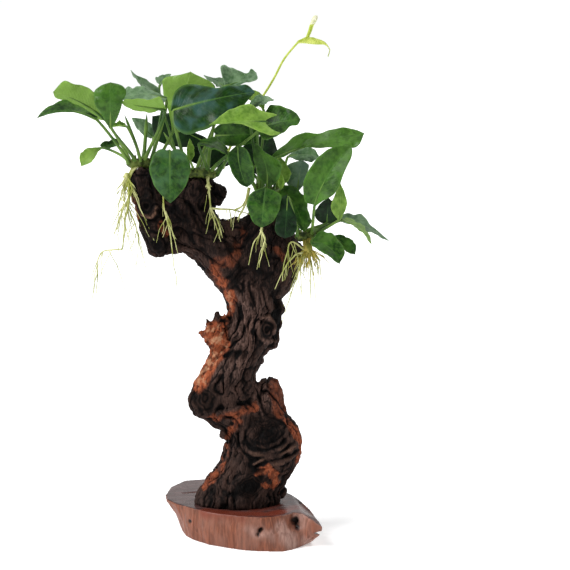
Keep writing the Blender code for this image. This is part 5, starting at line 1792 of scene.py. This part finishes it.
ROOT_PLANS = (
    RootPlan("left", (-90, -17, 294), 3.2, (
        ((-90, -17, 294), (-93, -19, 287), (-95, -15, 275), 0.5),
        ((-89, -17, 293), (-86, -22, 284), (-91, -22, 274), (-97, -20, 266), (-103, -18, 255), 0.7),
        ((-90, -22, 275), (-94, -24, 265), (-98, -24, 254), 0.5),
        ((-89, -17, 294), (-88, -22, 278), (-91, -23, 260), (-92.5, -23, 249), (-94, -23, 238), 1.1),
        ((-93.5, -23, 238), (-112, -20, 234), (-114, -20, 216), (-115, -20, 203), 0.6),
        ((-89.5, -22, 272), (-83, -26, 256), (-80, -26, 244), (-78, -24, 231), 0.6),
    ), 46, 36, 10, (6, 6, 7)),
    RootPlan("front", (-61, -8, 297), 2.2, (
        ((-61, -8, 297), (-62, -20, 289), (-60, -26, 268), (-56, -25, 250), (-55, -22, 234), (-52, -14, 206), 0.7),
        ((-60, -26, 268), (-56, -26, 259), (-52, -25, 246), 0.6),
    ), 8, 26, 0, (-6, 4, 5)),
    RootPlan("middle", (-27, -10, 286), 2, (
        ((-27, -10, 286), (-25, -14, 269), (-22, -19, 259), (-17, -22, 244), 0.8),
        ((-25, -15, 269), (-19, -19, 258), (-16, -23, 247), 0.5),
        ((-26, -14, 269), (-17, -15, 268), (-9, -14, 268), (-3, -12, 266), (5, -12, 264), 0.9),
        ((-7, -13.5, 267), (-1, -14, 271), (2, -14, 276), 0.9),
        ((5, -13, 285), (2, -14, 273), (-4, -14, 260), 1.3),
    ), 22, 16),
    RootPlan("centre", (16, -11, 275), 2.2, (
        ((16, -11, 275), (15, -20, 263), (14, -24, 251), (8, -25, 243), (4, -23, 226), 0.8),
        ((14, -23, 253), (17, -26, 247), (15, -26, 239), (13, -25, 224), 0.8),
    ), 12, 20, 0, (1, 10, 6)),
    RootPlan("right", (51, -20, 238), 4.4, (
        ((49, -21, 236), (39, -25, 244), (35, -25, 237), (32, -26, 226), (31, -25, 213), 0.7),
        ((49, -21, 235), (41, -26, 233), (33, -26, 224), (25, -24, 206), 0.7),
        ((48, -21, 236), (44, -24, 222), (41, -22, 212), (37, -18, 197), (31, -16, 179), 0.6),
        ((49, -21, 236), (45, -24, 222), (46, -22, 201), 0.6),
        ((51, -21, 236), (53, -22, 224), (52, -18, 196), 0.7),
        ((52, -21, 236), (56, -22, 212), (57, -22, 193), 0.5),
        ((50, -20, 236), (58, -17, 227), (60, -14, 212), 0.6),
        ((50, -20, 237), (59, -14, 230), (63, -10, 209), 0.6),
    ), 18, 26, 44),
)


# The studio


@dataclass
class Studio:
    """The floor, the soft light and the camera at the photograph's angle."""

    camera_place: Point = (33, -1100, 370)
    camera_aim: Point = (33, 0, 206)
    sensor: float = 36
    focal_pixels: float = 1390
    photo_pixels: float = 570
    floor_size: float = 60.0
    # Lamps: name, the way to each, its spread in degrees and its power
    lamps: tuple[tuple[str, Point, float, float], ...] = (
        ("key", (-0.85, -0.40, 1.0), 34, 3.2), ("rim", (0.5, 0.45, 0.9), 45, 1.2),
    )
    # The surround's brightness, what lies behind the camera and what is above the floor: axis, range and what it gives
    overhead: tuple = ("Z", 0.12, 0.50, 1.02, 0.32)
    behind: tuple = ("Y", -0.75, 0.05, 0.62, 0.0)
    raised: tuple = ("Z", 0.05, 0.22, 0.0, 1.0)

    def build(self) -> None:
        """Adds the floor, the lights and the camera."""
        bpy.ops.object.select_all(action="DESELECT")
        bpy.ops.mesh.primitive_plane_add(size=self.floor_size)
        floor = newest("studio_floor")
        recipe = Recipe("studio_floor")
        haze = recipe.fit(recipe.noise(900, 1), 0, 1)
        dress(floor, recipe.shade(
            Base_Color=recipe.mix(haze, (0.93, 0.93, 0.94), (0.95, 0.95, 0.95)), Roughness=0.9, Specular_IOR_Level=0.1,
            Emission_Color=(1.0, 1.0, 1.0), Emission_Strength=0.28,
        ))
        bpy.context.scene.world = self.sky()
        for lamp in self.lamps:
            self.sun(*lamp)
        bpy.context.scene.view_settings.view_transform = "Standard"
        place, aim = Vector(self.camera_place) * MM, Vector(self.camera_aim) * MM
        bpy.ops.object.camera_add(location=place, rotation=(aim - place).to_track_quat("-Z", "Y").to_euler())
        camera = newest("studio_camera")
        camera.data.lens = self.sensor * self.focal_pixels / self.photo_pixels
        bpy.context.scene.camera = camera

    def sky(self) -> bpy.types.World:
        """Returns:
            A white surround that is greyer overhead and behind the camera, so that gloss shows.
        """
        world = bpy.data.worlds.new("studio")
        world.use_nodes = True
        nodes, links = world.node_tree.nodes, world.node_tree.links
        split = nodes.new("ShaderNodeSeparateXYZ")
        links.new(nodes.new("ShaderNodeTexCoord").outputs["Generated"], split.inputs[0])
        shares = []
        for axis, *limits in (self.overhead, self.behind, self.raised):
            node = nodes.new("ShaderNodeMapRange")
            links.new(split.outputs[axis], node.inputs[0])
            for index, value in enumerate(limits, 1):
                node.inputs[index].default_value = value
            shares.append(node.outputs[0])
        bright, behind, raised = shares
        both, rest, last = (nodes.new("ShaderNodeMath") for _ in range(3))
        both.operation, rest.operation, last.operation = "MULTIPLY", "SUBTRACT", "MULTIPLY"
        rest.inputs[0].default_value = 1.0
        for first, second in (
            (behind, both.inputs[0]), (raised, both.inputs[1]), (both.outputs[0], rest.inputs[1]),
            (bright, last.inputs[0]), (rest.outputs[0], last.inputs[1]),
            (last.outputs[0], nodes["Background"].inputs["Strength"]),
        ):
            links.new(first, second)
        nodes["Background"].inputs["Color"].default_value = (0.99, 1, 1, 1)
        return world

    @staticmethod
    def sun(name: str, way: Point, spread: float, power: float) -> None:
        """Adds a broad lamp far off.

        Args:
            name: the lamp's name.
            way: where it stands, as seen from the piece.
            spread: how wide it looks, in degrees.
            power: how strong it is.
        """
        turn = (-Vector(way)).to_track_quat("-Z", "Y").to_euler()
        bpy.ops.object.light_add(type="SUN", location=Vector(way), rotation=turn)
        light = newest(f"studio_{name}")
        light.data.angle = math.radians(spread)
        light.data.energy = power


def main() -> None:
    """Builds every piece, in order, and logs how many triangles each piece and all pieces have."""
    logging.basicConfig(level=logging.INFO, format="%(message)s")
    pieces = [Slab().build(), *Driftwood().build()]
    pieces += [stem.build() for stem in RHIZOMES.values()]
    pieces += Foliage().build()
    pieces += Flower().build()
    pieces += Roots(ROOT_PLANS).build()
    Studio().build()
    for piece in pieces:
        piece.data.calc_loop_triangles()
        log.info("%s: %d triangles", piece.name, len(piece.data.loop_triangles))
    log.info("%d pieces, %d triangles", len(pieces), sum(len(piece.data.loop_triangles) for piece in pieces))


if __name__ == "__main__":
    main()
